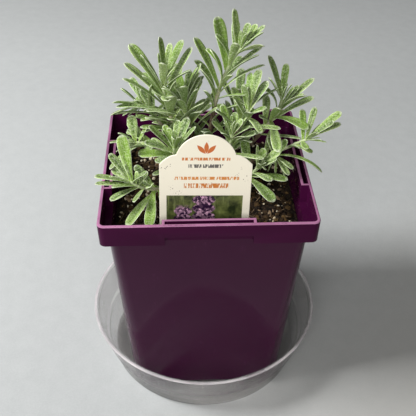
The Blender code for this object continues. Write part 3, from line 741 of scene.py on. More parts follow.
def leaf_sprig(tree, flat, face):
    """Three small orange leaves that fan out from one foot."""
    for lean in (-42.0, 0.0, 42.0):
        leaning = add_node(tree, "ShaderNodeVectorRotate", {
            "Vector": flat, "Center": (0.0, 55.3 * MM, 0.0), "Angle": math.radians(lean)},
            rotation_type="Z_AXIS").outputs[0]
        sides = add_node(tree, "ShaderNodeSeparateXYZ", {0: leaning})
        rise = range_of(tree, sides.outputs["Y"], 55.7 * MM, 62.8 * MM)
        bulge = maths(tree, "SINE", product(tree, rise, math.pi))
        inside = difference(tree, product(tree, bulge, 1.3 * MM),
                            maths(tree, "ABSOLUTE", sides.outputs["X"]))
        face = blend_of(tree, range_of(tree, inside, 0.0, 0.2 * MM), face, (0.58, 0.15, 0.035, 1.0))
    return face


def tag_print():
    """Cream plastic with its printed face, lightly splashed with peat; the back is bare."""
    made, tree, shader = new_material("printed cream tag")
    skin = add_node(tree, "ShaderNodeGroup", {"Ripple scale": 90.0, "Grain scale": 3000.0,
        "Scuffing": 0.35}, node_tree=MOULDED_SKIN)
    print_map = add_node(tree, "ShaderNodeUVMap", uv_map="tag face").outputs["UV"]
    sides = add_node(tree, "ShaderNodeSeparateXYZ", {0: print_map})
    across = range_of(tree, sides.outputs["X"], 0.0, 1.0, -TAG_WIDTH / 2, TAG_WIDTH / 2)
    up = range_of(tree, sides.outputs["Y"], 0.0, 1.0, TAG_STAKE_TIP, TAG_TOP)
    flat = add_node(tree, "ShaderNodeCombineXYZ", {"X": across, "Y": up}).outputs[0]

    cream = blend_of(tree, skin.outputs["Cloud"], (0.90, 0.85, 0.70, 1.0), (0.93, 0.885, 0.75, 1.0))
    printed = tag_mask(tree, across, up, (-0.15, 10.3), (20.6, 20.0), 0.12 * MM)
    face = blend_of(tree, printed, cream, flower_picture(tree, flat, across, up))
    face = stroke_lines(tree, flat, across, up, face)
    face = leaf_sprig(tree, flat, face)
    grit = add_node(tree, "ShaderNodeTexVoronoi", {"Vector": flat, "Scale": 850.0}).outputs["Distance"]
    grit = product(tree, range_of(tree, grit, 0.26, 0.16),
                   range_of(tree, noise_of(tree, flat, 75.0), 0.60, 0.66))
    face = blend_of(tree, grit, face, (0.055, 0.035, 0.020, 1.0))
    fill(shader, {"Base Color": blend_of(tree, mark_of(tree, "printed_side"), cream, face),
        "Roughness": range_of(tree, skin.outputs["Scuffs"], 0.0, 1.0, 0.36, 0.55),
        "Normal": bump(tree, skin.outputs["Height"], 0.05 * MM)})
    return made


def make_tag():
    """The plate, with a flat map of its face for the print."""
    half_outline = tag_outline()
    whole = half_outline + [(-x, v) for x, v in half_outline[-2:0:-1]]
    place = (Matrix.Translation(TAG_PLACE) @ Matrix.Rotation(TAG_ROLL, 4, "Y")
             @ Matrix.Rotation(-TAG_LEAN, 4, "X"))
    shape = bmesh.new()
    face_map = shape.loops.layers.uv.new("tag face")
    back, front = ([shape.verts.new((x, y, v)) for x, v in whole]
                   for y in (TAG_THICKNESS / 2, -TAG_THICKNESS / 2))
    for step in range(len(whole)):
        following = (step + 1) % len(whole)
        shape.faces.new((back[step], back[following], front[following], front[step]))
    shape.faces.new(back[::-1])
    shape.faces.new(front)
    side_mark = shape.faces.layers.float.new("printed_side")
    shape.faces.ensure_lookup_table()
    shape.faces[-1][side_mark] = 1.0
    for face in shape.faces:
        for loop in face.loops:
            loop[face_map].uv = (loop.vert.co.x / TAG_WIDTH + 0.5,
                                 (loop.vert.co.z - TAG_STAKE_TIP) / (TAG_TOP - TAG_STAKE_TIP))
    bmesh.ops.transform(shape, matrix=place, verts=shape.verts)
    mesh = plain_mesh("printed_tag", shape, tag_print())
    tag = keep_piece("printed_tag", mesh, "tag_plastic", "plant_tag")
    cut = tag.modifiers.new("cut edge", "BEVEL")
    cut.width = 0.12 * MM
    cut.segments = 2
    cut.limit_method = "ANGLE"
    cut.angle_limit = math.radians(50.0)


make_tag()


# ---- Woody crown and stems --------------------------------------------------------------------
# The plant has been pinched back, so a short brown crown forks just above the mix into fifteen
# branches. Their lower parts are woody and flake a little; the upper parts are this year's soft
# growth, four-sided, felted and pale, with a swelling where each pair of leaves leaves it.

CROWN_PLACE = Vector((0.0, 3.0, 112.0)) * MM
CROWN_HEIGHT = 26.0 * MM
CROWN_FOOT_RADIUS = 2.4 * MM
CROWN_RADIUS = 4.2 * MM
WOODY_END = 0.42
STEM_RADIUS = 1.25 * MM
STEM_TIP_RADIUS = 0.75 * MM

# Each shoot: the points its stem starts at, passes and ends at, in millimetres, and its leaves.
# A leaf is given by how far up the stem it grows (per cent), its heading from +X and its rise
# above the horizon (degrees), its length and width (millimetres) and how far it bends over.
SHOOTS = {
    "left_back": {"start": (-3, 5, 134), "middle": (-20, 14, 173), "tip": (-23, 17, 194), "leaves": [
        (80, 150, 50, 34, 8.5, 15), (100, 140, 85, 28, 6, 12), (85, 160, 60, 21, 4, 10),
        (95, 120, 75, 19, 3, 10), (91, 95, 50, 16, 3, 8), (100, 70, 60, 23, 4, 10),
        (91, 40, 60, 29, 6, 15), (76, 30, 55, 32, 6, 15), (90, -5, 65, 16, 5, 45),
        (65, -30, 70, 18, 5, 20), (69, 160, 40, 32, 8.5, 20), (61, -175, 40, 32, 6, 20),
        (48, 175, 20, 33, 4, 20), (75, -84, 24, 23, 7, 28), (54, -170, 15, 32, 6, 35),
        (50, -155, 10, 19, 5, 20)]},
    "far_left": {"start": (-5, 5, 134), "middle": (-27, 16, 169), "tip": (-38, 20, 178), "leaves": [
        (100, 175, 45, 15, 6, 15), (90, 115, 60, 12, 4, 10), (96, 90, 45, 9, 4, 10),
        (92, -160, 20, 12, 4.5, 15), (58, 30, 45, 8, 4.5, 20), (65, 145, 60, 15, 5, 15),
        (86, -145, 45, 8, 4.5, 15)]},
    "middle_back": {"start": (-1, 5, 134), "middle": (-9, 12, 169), "tip": (-12, 15, 182), "leaves": [
        (97, 40, 60, 25, 4.5, 12), (100, 5, 65, 21, 6, 12), (76, -15, 65, 15, 6, 15),
        (95, 75, 50, 20, 4.5, 10), (85, 175, 70, 12, 4.5, 15), (70, 0, 35, 14, 4.5, 25)]},
    "tall": {"start": (1, 5, 134), "middle": (7, 17, 183), "tip": (21, 21, 214), "leaves": [
        (94, 110, 75, 24, 5, 8), (90, 85, 55, 20, 5, 8), (75, 115, 65, 30, 8.5, 15),
        (80, 165, 65, 20, 6, 60), (100, 40, 65, 14, 4.5, 12), (100, -15, 70, 9, 4, 12),
        (86, 35, 55, 19, 4, 12), (93, 40, 40, 20, 4.5, 15), (86, 15, 45, 26, 4.5, 15),
        (95, -15, 45, 19, 4.5, 15), (66, 10, 40, 29, 5, 20), (70, -20, 40, 25, 5, 20),
        (59, 140, 55, 32, 8.5, 18), (64, 165, 65, 23, 6, 70), (50, 135, 50, 27, 6, 60),
        (54, -175, 60, 20, 6, 25), (55, 0, 35, 32, 4, 35), (51, -40, 25, 21, 5, 20)]},
    "right_back": {"start": (4, 4, 134), "middle": (35, 9, 167), "tip": (45, 13, 186), "leaves": [
        (100, 140, 65, 26, 8.5, 12), (95, 75, 60, 21, 4.5, 8), (75, 175, 55, 20, 6, 75),
        (80, 0, 75, 15, 3, 10), (80, 20, 55, 15, 3, 10), (76, 25, 45, 19, 4, 10), (67, 20, 40, 32, 6, 12),
        (62, 5, 30, 28, 6.5, 18), (66, -45, 5, 25, 8, 45), (61, -90, 0, 33, 6, 30),
        (71, -10, 45, 21, 4.5, 15), (60, -150, 35, 9, 5, 25)]},
    "far_right": {"start": (4, 2, 134), "middle": (38, -2, 156), "tip": (60, -6, 170), "leaves": [
        (100, 10, 40, 23, 5, 12), (98, -10, 45, 18, 4.5, 12), (91, 5, 25, 23, 5, 12),
        (95, 55, 65, 19, 4, 10), (90, 90, 50, 18, 4.5, 15), (95, -40, 50, 9, 4.5, 15),
        (89, -90, 10, 11, 5, 20), (80, -50, 0, 12, 5, 15)]},
    "right_front": {"start": (4, 0, 134), "middle": (20, -10, 143), "tip": (30, -16, 158), "leaves": [
        (90, 10, 40, 18, 6, 12), (95, 45, 60, 12, 4.5, 10), (95, 0, 70, 8, 4, 10),
        (72, 105, 60, 23, 6, 15), (85, -55, 10, 15, 6, 20), (75, -20, 5, 22, 8, 20),
        (70, -55, -10, 23, 8, 25), (90, -15, 40, 15, 4.5, 15), (85, 150, 40, 10, 4.5, 15)]},
    "right_low": {"start": (4, 1, 134), "middle": (31, -6, 157), "tip": (41, -9, 159), "leaves": [
        (92, -30, -5, 30, 6, 60), (100, -70, -10, 15, 5, 15), (96, -55, -5, 14, 5, 20),
        (80, 120, 55, 10, 4.5, 12), (100, 30, 60, 12, 4, 10)]},
    "centre": {"start": (2, 1, 134), "middle": (12, -4, 157), "tip": (15, -5, 174), "leaves": [
        (91, 125, 60, 19, 5, 12), (90, -15, 40, 13, 4.5, 15), (80, -20, 30, 16, 5, 20),
        (85, -145, 45, 10, 4.5, 20), (95, 5, 60, 11, 6, 12), (99, -20, 85, 8, 4, 10),
        (80, 160, 45, 16, 5, 15), (91, 75, 50, 14, 4.5, 10)]},
    "centre_back": {"start": (3, 4, 134), "middle": (20, 3, 172), "tip": (25, 6, 185), "leaves": [
        (73, 20, 55, 22, 8.5, 15), (93, 55, 60, 22, 7, 12), (89, 130, 85, 13, 5, 15),
        (81, 100, 55, 15, 5, 10), (65, -65, 0, 19, 5, 70), (67, 170, 60, 12, 4.5, 15),
        (70, -15, 30, 13, 5, 20)]},
    "left_centre": {"start": (-2, 1, 134), "middle": (-15, -8, 154), "tip": (-18, -11, 169), "leaves": [
        (89, 165, 45, 20, 6.5, 12), (90, 45, 55, 20, 6, 12), (100, 75, 50, 15, 4.5, 12),
        (95, -160, 85, 8, 4.5, 12), (85, -175, 25, 18, 7, 18), (76, -170, 10, 21, 8.5, 20),
        (92, 120, 45, 15, 4.5, 12), (80, -135, 5, 14, 6, 20)]},
    "left_front": {"start": (-3, 0, 134), "middle": (-29, -22, 147), "tip": (-43, -26, 156), "leaves": [
        (100, 110, 55, 26, 7, 12), (100, 145, 45, 19, 4.5, 12), (100, -175, 15, 20, 6.5, 12),
        (86, -165, 15, 23, 4.5, 15), (85, -145, 20, 16, 5, 15), (80, -140, 0, 19, 6.5, 20),
        (95, -25, 45, 13, 5, 15), (86, 60, 75, 8, 3, 8), (80, 15, 55, 10, 4.5, 15),
        (50, -125, -15, 29, 7, 20), (54, -95, -15, 26, 6.5, 20)]},
    "left_low": {"start": (-4, 3, 134), "middle": (-27, 2, 158), "tip": (-41, 4, 162), "leaves": [
        (96, -165, 10, 16, 4.5, 15), (97, 175, 30, 12, 5, 15), (50, 150, 15, 24, 5, 50),
        (100, 105, 60, 16, 6, 12), (75, -135, 5, 14, 5, 40), (96, -135, -20, 23, 5, 20),
        (90, 30, 55, 10, 4.5, 12), (75, 145, 20, 14, 4, 12), (81, -65, 15, 14, 4.5, 20)]},
    "back_left": {"start": (-2, 7, 134), "middle": (-10, 26, 148), "tip": (-14, 38, 164), "leaves": [
        (100, 100, 55, 23, 6, 15), (95, 60, 45, 21, 5, 15), (90, 150, 40, 23, 6, 15),
        (80, 120, 15, 25, 6.5, 20), (75, 35, 20, 23, 6, 20), (65, 170, 15, 21, 5, 20),
        (100, -20, 75, 14, 4.5, 10), (60, 80, 5, 21, 5, 20)]},
    "back_right": {"start": (2, 7, 134), "middle": (15, 24, 150), "tip": (22, 36, 168), "leaves": [
        (100, 80, 60, 23, 6, 15), (95, 30, 45, 23, 6, 15), (95, 130, 45, 21, 5, 15),
        (80, 60, 15, 25, 6.5, 20), (80, 0, 20, 21, 5, 20), (70, 110, 10, 23, 6, 20),
        (100, -100, 75, 14, 4.5, 10), (60, 30, 5, 21, 5, 20)]},
}


def stem_point(shoot, along):
    """A point on a stem's curve, which passes its middle point half way."""
    start, middle, tip = (Vector(shoot[key]) * MM for key in ("start", "middle", "tip"))
    bend = 2 * middle - (start + tip) / 2
    return (1 - along) ** 2 * start + 2 * along * (1 - along) * bend + along ** 2 * tip


def stem_direction(shoot, along):
    """The stem's direction at a point."""
    return (stem_point(shoot, along + 0.01) - stem_point(shoot, along - 0.01)).normalized()


def stem_radius(along):
    """A stem thins from its woody end to its tip."""
    return STEM_RADIUS + (STEM_TIP_RADIUS - STEM_RADIUS) * along


def felted():
    """Group for plant felt: matted hairs in small tufts, as a mask and a height."""
    group, given, made = new_group(
        "plant felt", "ShaderNodeTree",
        {"Tuft scale": (NUMBER, 1100.0), "Cover": (NUMBER, 0.5)},
        {"Felt": (NUMBER, None), "Height": (NUMBER, None), "Drift": (NUMBER, None)})
    place = object_place(group)
    tufts = noise_of(group, place, given.outputs["Tuft scale"], 3.0, 0.6)
    hairs = noise_of(group, place, product(group, given.outputs["Tuft scale"], 3.1), 2.0, 0.6)
    drift = noise_of(group, place, 120.0, 2.0, 0.5)
    height = total(group, tufts, product(group, hairs, 0.45))
    cover = total(group, range_of(group, height, 0.58, 0.88),
                  difference(group, given.outputs["Cover"], 0.5), clamp=True)
    fill(made, {"Felt": cover, "Height": height, "Drift": drift})
    return group


FELTED = felted()


def bark():
    """Grey-brown young bark with long cracks and a few flakes."""
    made, tree, shader = new_material("young bark")
    place = object_place(tree)
    cracks = noise_of(tree, stretched(tree, place, (1.0, 1.0, 0.22)), 1100.0, 5.0, 0.65)
    flakes = noise_of(tree, place, 420.0, 3.0, 0.6)
    colour = blend_of(tree, range_of(tree, cracks, 0.38, 0.62), (0.035, 0.020, 0.012, 1.0),
                      (0.20, 0.135, 0.085, 1.0))
    colour = blend_of(tree, range_of(tree, flakes, 0.55, 0.72, 0.0, 0.7), colour,
                      (0.30, 0.25, 0.18, 1.0))
    fill(shader, {"Base Color": colour, "Roughness": 0.88, "Normal": bump(tree, cracks, 0.5 * MM)})
    return made


def soft_stem():
    """Pinkish at the foot to pale green at the tip, felted."""
    made, tree, shader = new_material("soft stem")
    felt = add_node(tree, "ShaderNodeGroup", {"Tuft scale": 1500.0, "Cover": 0.45}, node_tree=FELTED)
    along = mark_of(tree, "stem_along")
    colour = blend_of(tree, range_of(tree, along, 0.40, 0.78), (0.235, 0.150, 0.085, 1.0),
                      (0.34, 0.42, 0.185, 1.0))
    colour = blend_of(tree, product(tree, felt.outputs["Felt"], 0.6), colour, (0.60, 0.64, 0.50, 1.0))
    fill(shader, {"Base Color": colour, "Roughness": 0.8, "Sheen Weight": 0.25,
        "Normal": bump(tree, felt.outputs["Height"], 0.18 * MM)})
    return made


def stem_tree():
    """Tree that draws a round stem along a guide line, as thick as each of its points says."""
    tree, given, made = new_group(
        "stem along a line", "GeometryNodeTree",
        {"Geometry": (SHAPE, None), "Sides": (WHOLE, 10), "Material": (FINISH, None)},
        {"Geometry": (SHAPE, None)})
    line = add_node(tree, "GeometryNodeMeshToCurve", {"Mesh": given.outputs["Geometry"]})
    girth = add_node(tree, "GeometryNodeInputNamedAttribute", {"Name": "girth"}, data_type="FLOAT")
    ring = add_node(tree, "GeometryNodeCurvePrimitiveCircle", {
        "Resolution": given.outputs["Sides"], "Radius": 1.0})
    thick = add_node(tree, "GeometryNodeSetCurveRadius", {
        "Curve": line.outputs[0], "Radius": girth.outputs[0]})
    tube = add_node(tree, "GeometryNodeCurveToMesh", {
        "Curve": thick.outputs[0], "Profile Curve": ring.outputs[0], "Fill Caps": True})
    if "Scale" in tube.inputs:
        tree.links.new(girth.outputs[0], tube.inputs["Scale"])
    solid = add_node(tree, "GeometryNodeRealizeInstances", {0: tube.outputs[0]})
    finished = add_node(tree, "GeometryNodeSetMaterial", {
        "Geometry": solid.outputs[0], "Material": given.outputs["Material"]})
    fill(made, {"Geometry": finished.outputs[0]})
    return tree


STEM_TREE = stem_tree()
BARK = bark()
SOFT_STEM = soft_stem()


def guide_line(name, rows):
    """A mesh of separate lines; each row is a list of (point, girth, share of the stem)."""
    mesh = bpy.data.meshes.new(name)
    points, edges, girths, shares = [], [], [], []
    for row in rows:
        edges += [(len(points) + step, len(points) + step + 1) for step in range(len(row) - 1)]
        points += [item[0] for item in row]
        girths += [item[1] for item in row]
        shares += [item[2] for item in row]
    mesh.from_pydata(points, edges, [])
    for label, values in (("girth", girths), ("stem_along", shares)):
        mesh.attributes.new(label, "FLOAT", "POINT").data.foreach_set("value", values)
    return mesh


def stem_row(shoot, low, high, steps, swell, rough):
    """Points along part of a stem, thicker at the joints where its leaves grow."""
    row = []
    joints = sorted({leaf[0] / 100 for leaf in shoot["leaves"]})
    for step in range(steps + 1):
        along = low + (high - low) * step / steps
        point = stem_point(shoot, along)
        girth = stem_radius(along) + swell
        if joints:
            nearest = min(abs(along - joint) for joint in joints)
            girth *= 1.0 + 0.22 * math.exp(-(nearest / 0.018) ** 2)
        girth *= 1.0 + rough * noise.noise(point * 350.0)
        if step == steps and high >= 1.0:
            girth *= 0.45
        row.append((point, girth, along))
    return row


def make_crown():
    """The stub in the mix and the woody foot of every branch."""
    rows = []
    stub = []
    for step in range(15):
        share = step / 14
        point = CROWN_PLACE + Vector((0.0, 0.0, CROWN_HEIGHT * share))
        girth = CROWN_FOOT_RADIUS + (CROWN_RADIUS - CROWN_FOOT_RADIUS) * math.sin(share * math.pi / 2)
        stub.append((point, girth * (1.0 + 0.22 * noise.noise(point * 260.0)), 0.0))
    rows.append(stub)
    for shoot in SHOOTS.values():
        rows.append(stem_row(shoot, 0.0, WOODY_END + 0.04, 18, 0.3 * MM, 0.30))
    mesh = grow("forked_crown", guide_line("crown_lines", rows), STEM_TREE, {
        "Sides": 12, "Material": BARK})
    keep_piece("forked_crown", mesh, "woody_stem", "woody_crown", smooth_below=60.0)


make_crown()


# ---- Leaves -----------------------------------------------------------------------------------
# Narrow, thick leaves in crossed pairs, widest past their middle, folded along the midrib with
# the margins rolled under. White felt covers them, closest below and along the margins, and the
# green shows through it in the fold and at the foot; the fold is also darkened with painted shade.
# A tuft of small leaves closes each tip.

LEAF_RINGS = 13
LEAF_SIDES = 12
LEAF_HALF_THICKNESS = 0.46 * MM
LEAF_FOLD = 0.26
LEAF_STANDOFF = 0.1 * MM
LEAF_VALUES = ("heading", "rise", "length", "width", "bend", "twist", "tint", "fresh")
LISTED_TURN = 0.25
FILLING_TURN = 0.7
# Smaller leaves between the listed ones: how many turns, from which per cent of the stem, and a
# factor for their size.
USUAL_FILLING = (14, 38.0, 1.0)
FILLING = {"tall": (20, 14.0, 1.05), "right_back": (9, 38.0, 1.0), "far_right": (3, 45.0, 0.8),
           "right_front": (4, 45.0, 0.8), "right_low": (2, 45.0, 0.8), "left_low": (6, 38.0, 1.0),
           "left_back": (24, 40.0, 1.35), "middle_back": (24, 40.0, 1.25)}
GOLDEN_TURN = 137.5
TUFT_LEAVES = 7


def leaf_tree():
    """Tree that grows one folded, bent blade on every point of a mesh.

    Each point holds its leaf's numbers under the names in LEAF_VALUES.
    """
    tree, given, made = new_group(
        "leaves on their points", "GeometryNodeTree",
        {"Geometry": (SHAPE, None), "Rings": (WHOLE, LEAF_RINGS), "Sides": (WHOLE, LEAF_SIDES),
         "Half thickness": (NUMBER, LEAF_HALF_THICKNESS), "Fold": (NUMBER, LEAF_FOLD),
         "Groove": (NUMBER, 0.2), "Rolled margin": (NUMBER, 0.10), "Material": (FINISH, None)},
        {"Geometry": (SHAPE, None)})
    value = given.outputs

    def of_leaf(label, data_type="FLOAT"):
        return add_node(tree, "GeometryNodeInputNamedAttribute", {"Name": label},
                        data_type=data_type).outputs[0]

    def store(geometry, label, number, data_type="FLOAT"):
        return add_node(tree, "GeometryNodeStoreNamedAttribute", {
            "Geometry": geometry, "Name": label, "Value": number},
            data_type=data_type, domain="POINT").outputs[0]

    def times(*numbers):
        result = numbers[0]
        for number in numbers[1:]:
            result = product(tree, result, number)
        return result

    def plus(first, second):
        return total(tree, first, second)

    def minus(first, second):
        return difference(tree, first, second)

    def arrow(x, y, z):
        return add_node(tree, "ShaderNodeCombineXYZ", {"X": x, "Y": y, "Z": z}).outputs[0]

    def along_arrow(direction, distance):
        return add_node(tree, "ShaderNodeVectorMath", {0: direction, "Scale": distance},
                        operation="SCALE").outputs[0]

    def add_arrows(*arrows):
        result = arrows[0]
        for item in arrows[1:]:
            result = add_node(tree, "ShaderNodeVectorMath", {0: result, 1: item},
                              operation="ADD").outputs[0]
        return result

    rod = add_node(tree, "GeometryNodeMeshCylinder", {
        "Vertices": value["Sides"], "Side Segments": value["Rings"], "Radius": 1.0, "Depth": 2.0},
        fill_type="TRIANGLE_FAN").outputs["Mesh"]
    here = add_node(tree, "GeometryNodeInputPosition").outputs[0]
    rod_place = add_node(tree, "ShaderNodeSeparateXYZ", {0: here})
    level = times(plus(rod_place.outputs["Z"], 1.0), 0.5)
    blade = store(rod, "leaf_along", minus(1.0, maths(tree, "POWER", minus(1.0, level), 1.35)))
    blade = store(blade, "leaf_across", rod_place.outputs["X"])
    blade = store(blade, "leaf_upper", rod_place.outputs["Y"])
    rooted = store(value["Geometry"], "leaf_root", here, "FLOAT_VECTOR")
    placed = add_node(tree, "GeometryNodeInstanceOnPoints", {"Points": rooted, "Instance": blade})
    solid = add_node(tree, "GeometryNodeRealizeInstances", {0: placed.outputs[0]})

    along, across, upper = (of_leaf(label) for label in ("leaf_along", "leaf_across", "leaf_upper"))
    outline = add_node(tree, "ShaderNodeFloatCurve", {"Value": along})
    curve = outline.mapping.curves[0]
    curve.points[0].location = (0.0, 0.34)
    curve.points[1].location = (1.0, 0.22)
    for point in ((0.12, 0.42), (0.35, 0.66), (0.60, 0.92), (0.78, 1.0), (0.90, 0.88), (0.965, 0.62)):
        curve.points.new(*point)
    outline.mapping.update()
    half = times(of_leaf("width"), 0.5, outline.outputs[0])
    half = maths(tree, "MAXIMUM", half, times(of_leaf("width"), 0.05))
    off = maths(tree, "ABSOLUTE", across)
    fold = times(half, value["Fold"], maths(tree, "POWER", off, 1.25))
    rolled = times(half, value["Rolled margin"], maths(tree, "POWER", off, 6.0))
    groove = times(half, value["Groove"], maths(tree, "MAXIMUM", minus(1.0, times(off, 3.0)), 0.0),
                   maths(tree, "MAXIMUM", upper, 0.0))
    thick = times(upper, value["Half thickness"], plus(0.42, times(outline.outputs[0], 0.58)),
                  maths(tree, "MINIMUM", 1.0, plus(0.45, times(of_leaf("width"), 130.0))))
    lift = minus(minus(plus(fold, thick), rolled), groove)

    bend, heading = of_leaf("bend"), of_leaf("heading")
    first_rise = plus(of_leaf("rise"), times(bend, 0.5))
    rise = minus(first_rise, times(bend, along))
    reach = times(of_leaf("length"), maths(tree, "DIVIDE", minus(
        maths(tree, "SINE", first_rise), maths(tree, "SINE", rise)), bend))
    climb = times(of_leaf("length"), maths(tree, "DIVIDE", minus(
        maths(tree, "COSINE", rise), maths(tree, "COSINE", first_rise)), bend))
    forward = arrow(maths(tree, "COSINE", heading), maths(tree, "SINE", heading), 0.0)
    sideways = arrow(times(maths(tree, "SINE", heading), -1.0), maths(tree, "COSINE", heading), 0.0)
    skyward = (0.0, 0.0, 1.0)
    over = add_arrows(along_arrow(forward, times(maths(tree, "SINE", rise), -1.0)),
                      along_arrow(skyward, maths(tree, "COSINE", rise)))
    twist = times(of_leaf("twist"), plus(0.35, times(along, 0.65)))
    turn_cos, turn_sin = maths(tree, "COSINE", twist), maths(tree, "SINE", twist)
    side = add_arrows(along_arrow(sideways, turn_cos), along_arrow(over, turn_sin))
    top = add_arrows(along_arrow(over, turn_cos), along_arrow(sideways, times(turn_sin, -1.0)))
    place = add_arrows(of_leaf("leaf_root", "FLOAT_VECTOR"), along_arrow(forward, reach),
                       along_arrow(skyward, climb), along_arrow(side, times(half, across)),
                       along_arrow(top, lift))
    shaped = add_node(tree, "GeometryNodeSetPosition", {"Geometry": solid.outputs[0], "Position": place})
    finished = add_node(tree, "GeometryNodeSetMaterial", {
        "Geometry": shaped.outputs[0], "Material": value["Material"]})
    fill(made, {"Geometry": finished.outputs[0]})
    return tree


def felted_leaf():
    """Sage felt over green: greener and darkened with painted shade in the fold, greener at the foot,
    white at the margins and tip.
    """
    made, tree, shader = new_material("felted leaf")
    felt = add_node(tree, "ShaderNodeGroup", {"Tuft scale": 1250.0, "Cover": 0.46}, node_tree=FELTED)

    along, across, upper, tint, fresh = (mark_of(tree, label) for label in (
        "leaf_along", "leaf_across", "leaf_upper", "tint", "fresh"))
    off = maths(tree, "ABSOLUTE", across)
    above = range_of(tree, upper, -0.15, 0.25)
    deep = blend_of(tree, tint, (0.020, 0.056, 0.002, 1.0), (0.074, 0.155, 0.008, 1.0))
    sage = blend_of(tree, tint, (0.155, 0.270, 0.048, 1.0), (0.340, 0.475, 0.138, 1.0))
    under = blend_of(tree, tint, (0.150, 0.262, 0.046, 1.0), (0.335, 0.450, 0.142, 1.0))
    # The fold is greener where the felt is thin, and darkened further as painted shade in the crease.
    fold_green_and_shade = difference(tree, 1.0, range_of(tree, off, 0.10, 0.85), clamp=True)
    upper_face = blend_of(tree, product(tree, fold_green_and_shade, 0.90), sage, deep)
    colour = blend_of(tree, above, under, upper_face)
    foot = difference(tree, 1.0, range_of(tree, along, 0.02, 0.42), clamp=True)
    colour = blend_of(tree, product(tree, foot, 0.75), colour, (0.290, 0.420, 0.055, 1.0))
    colour = blend_of(tree, product(tree, fresh, 0.8), colour, (0.205, 0.370, 0.026, 1.0))
    cover = product(tree, range_of(tree, felt.outputs["Felt"], 0.25, 0.95),
                    range_of(tree, above, 0.0, 1.0, 0.62, 0.50))
    cover = product(tree, cover, range_of(tree, fresh, 0.0, 1.0, 1.0, 0.55))
    colour = blend_of(tree, cover, colour, (0.780, 0.860, 0.590, 1.0))
    margin = product(tree, range_of(tree, off, 0.91, 1.0), 0.95)
    tip = range_of(tree, along, 0.93, 1.0)
    pale = maths(tree, "MAXIMUM", margin, product(tree, tip, 0.55))
    colour = blend_of(tree, pale, colour, (0.860, 0.900, 0.760, 1.0))
    shade = range_of(tree, felt.outputs["Drift"], 0.3, 0.7, 0.78, 1.16)
    colour = shaded(tree, colour, shade)
    fill(shader, {"Base Color": colour, "Roughness": 0.72, "Specular IOR Level": 0.22,
        "Sheen Weight": 0.05, "Sheen Roughness": 0.45,
        "Normal": bump(tree, felt.outputs["Height"], 0.45 * MM)})
    return made


LEAF_TREE = leaf_tree()
FELTED_LEAF = felted_leaf()


def leaf_arrow(heading, rise):
    """A leaf's direction from its heading and rise in degrees."""
    turn, tilt = math.radians(heading), math.radians(rise)
    return Vector((math.cos(tilt) * math.cos(turn), math.cos(tilt) * math.sin(turn), math.sin(tilt)))


def leaf_at(shoot, leaf, dice, full_twist):
    """A leaf's root and values; its upper face is turned some way towards its own stem."""
    percent, heading, rise, length, width, bend = leaf
    along = percent / 100
    stem = stem_direction(shoot, along)
    tangent = leaf_arrow(heading, rise)
    outward = tangent - stem * tangent.dot(stem)
    if outward.length < 0.25:
        outward = leaf_arrow(heading, 0.0)
    root = stem_point(shoot, along) + outward.normalized() * (stem_radius(along) * 0.55 + LEAF_STANDOFF)
    side = Vector((-math.sin(math.radians(heading)), math.cos(math.radians(heading)), 0.0))
    over = tangent.cross(side)
    twist = math.degrees(math.atan2(-stem.dot(side), max(stem.dot(over), 1e-4)))
    twist = max(-38.0, min(38.0, twist * full_twist)) + dice.uniform(-9.0, 9.0)
    bend += dice.uniform(-3.0, 6.0)
    if abs(bend) < 2.0:
        bend = 2.0
    fresh = max(0.0, dice.uniform(-0.9, 1.0) - 0.25 * along)
    return root, (math.radians(heading), math.radians(rise), length * MM, width * MM,
                  math.radians(bend), math.radians(twist), dice.random(), fresh)


def spread(first, second):
    """The angle between two headings, in degrees."""
    return abs((first - second + 180.0) % 360.0 - 180.0)


def leaf_from(stem, along, heading, opening, length, width, bend):
    """A leaf like the listed ones, at an angle of opening (degrees) from its stem's direction."""
    outward = leaf_arrow(heading, 0.0)
    outward = (outward - stem * outward.dot(stem)).normalized()
    arrow = stem * math.cos(math.radians(opening)) + outward * math.sin(math.radians(opening))
    return (along, math.degrees(math.atan2(arrow.y, arrow.x)),
            math.degrees(math.asin(max(-1.0, min(1.0, arrow.z)))), length, width, bend)


def filling_leaves(shoot, dice, steps, lowest, size):
    """Smaller leaves in a spiral up the stem, wherever no listed leaf grows, and the tip's tuft."""
    extra = []
    heading = dice.uniform(0.0, 360.0)
    for step in range(steps):
        along = lowest + (97.0 - lowest) * step / (steps - 1)
        heading += GOLDEN_TURN
        if any(spread(heading, leaf[1]) < 22.0 and abs(along - leaf[0]) < 12.0
               for leaf in shoot["leaves"]):
            continue
        opening = 64.0 - 30.0 * step / steps + dice.uniform(-8.0, 8.0)
        length = dice.uniform(15.0, 25.0) * (1.15 - 0.35 * step / steps) * size
        extra.append(leaf_from(stem_direction(shoot, along / 100), along, heading, opening, length,
                               length * dice.uniform(0.21, 0.27), dice.uniform(8.0, 25.0)))
    stem = stem_direction(shoot, 0.99)
    for step in range(TUFT_LEAVES):
        heading += GOLDEN_TURN
        extra.append(leaf_from(stem, 99.0 - 0.6 * step, heading, 10.0 + 4.5 * step,
                               6.0 + 1.2 * step, 1.4 + 0.10 * step, 6.0))
    return extra


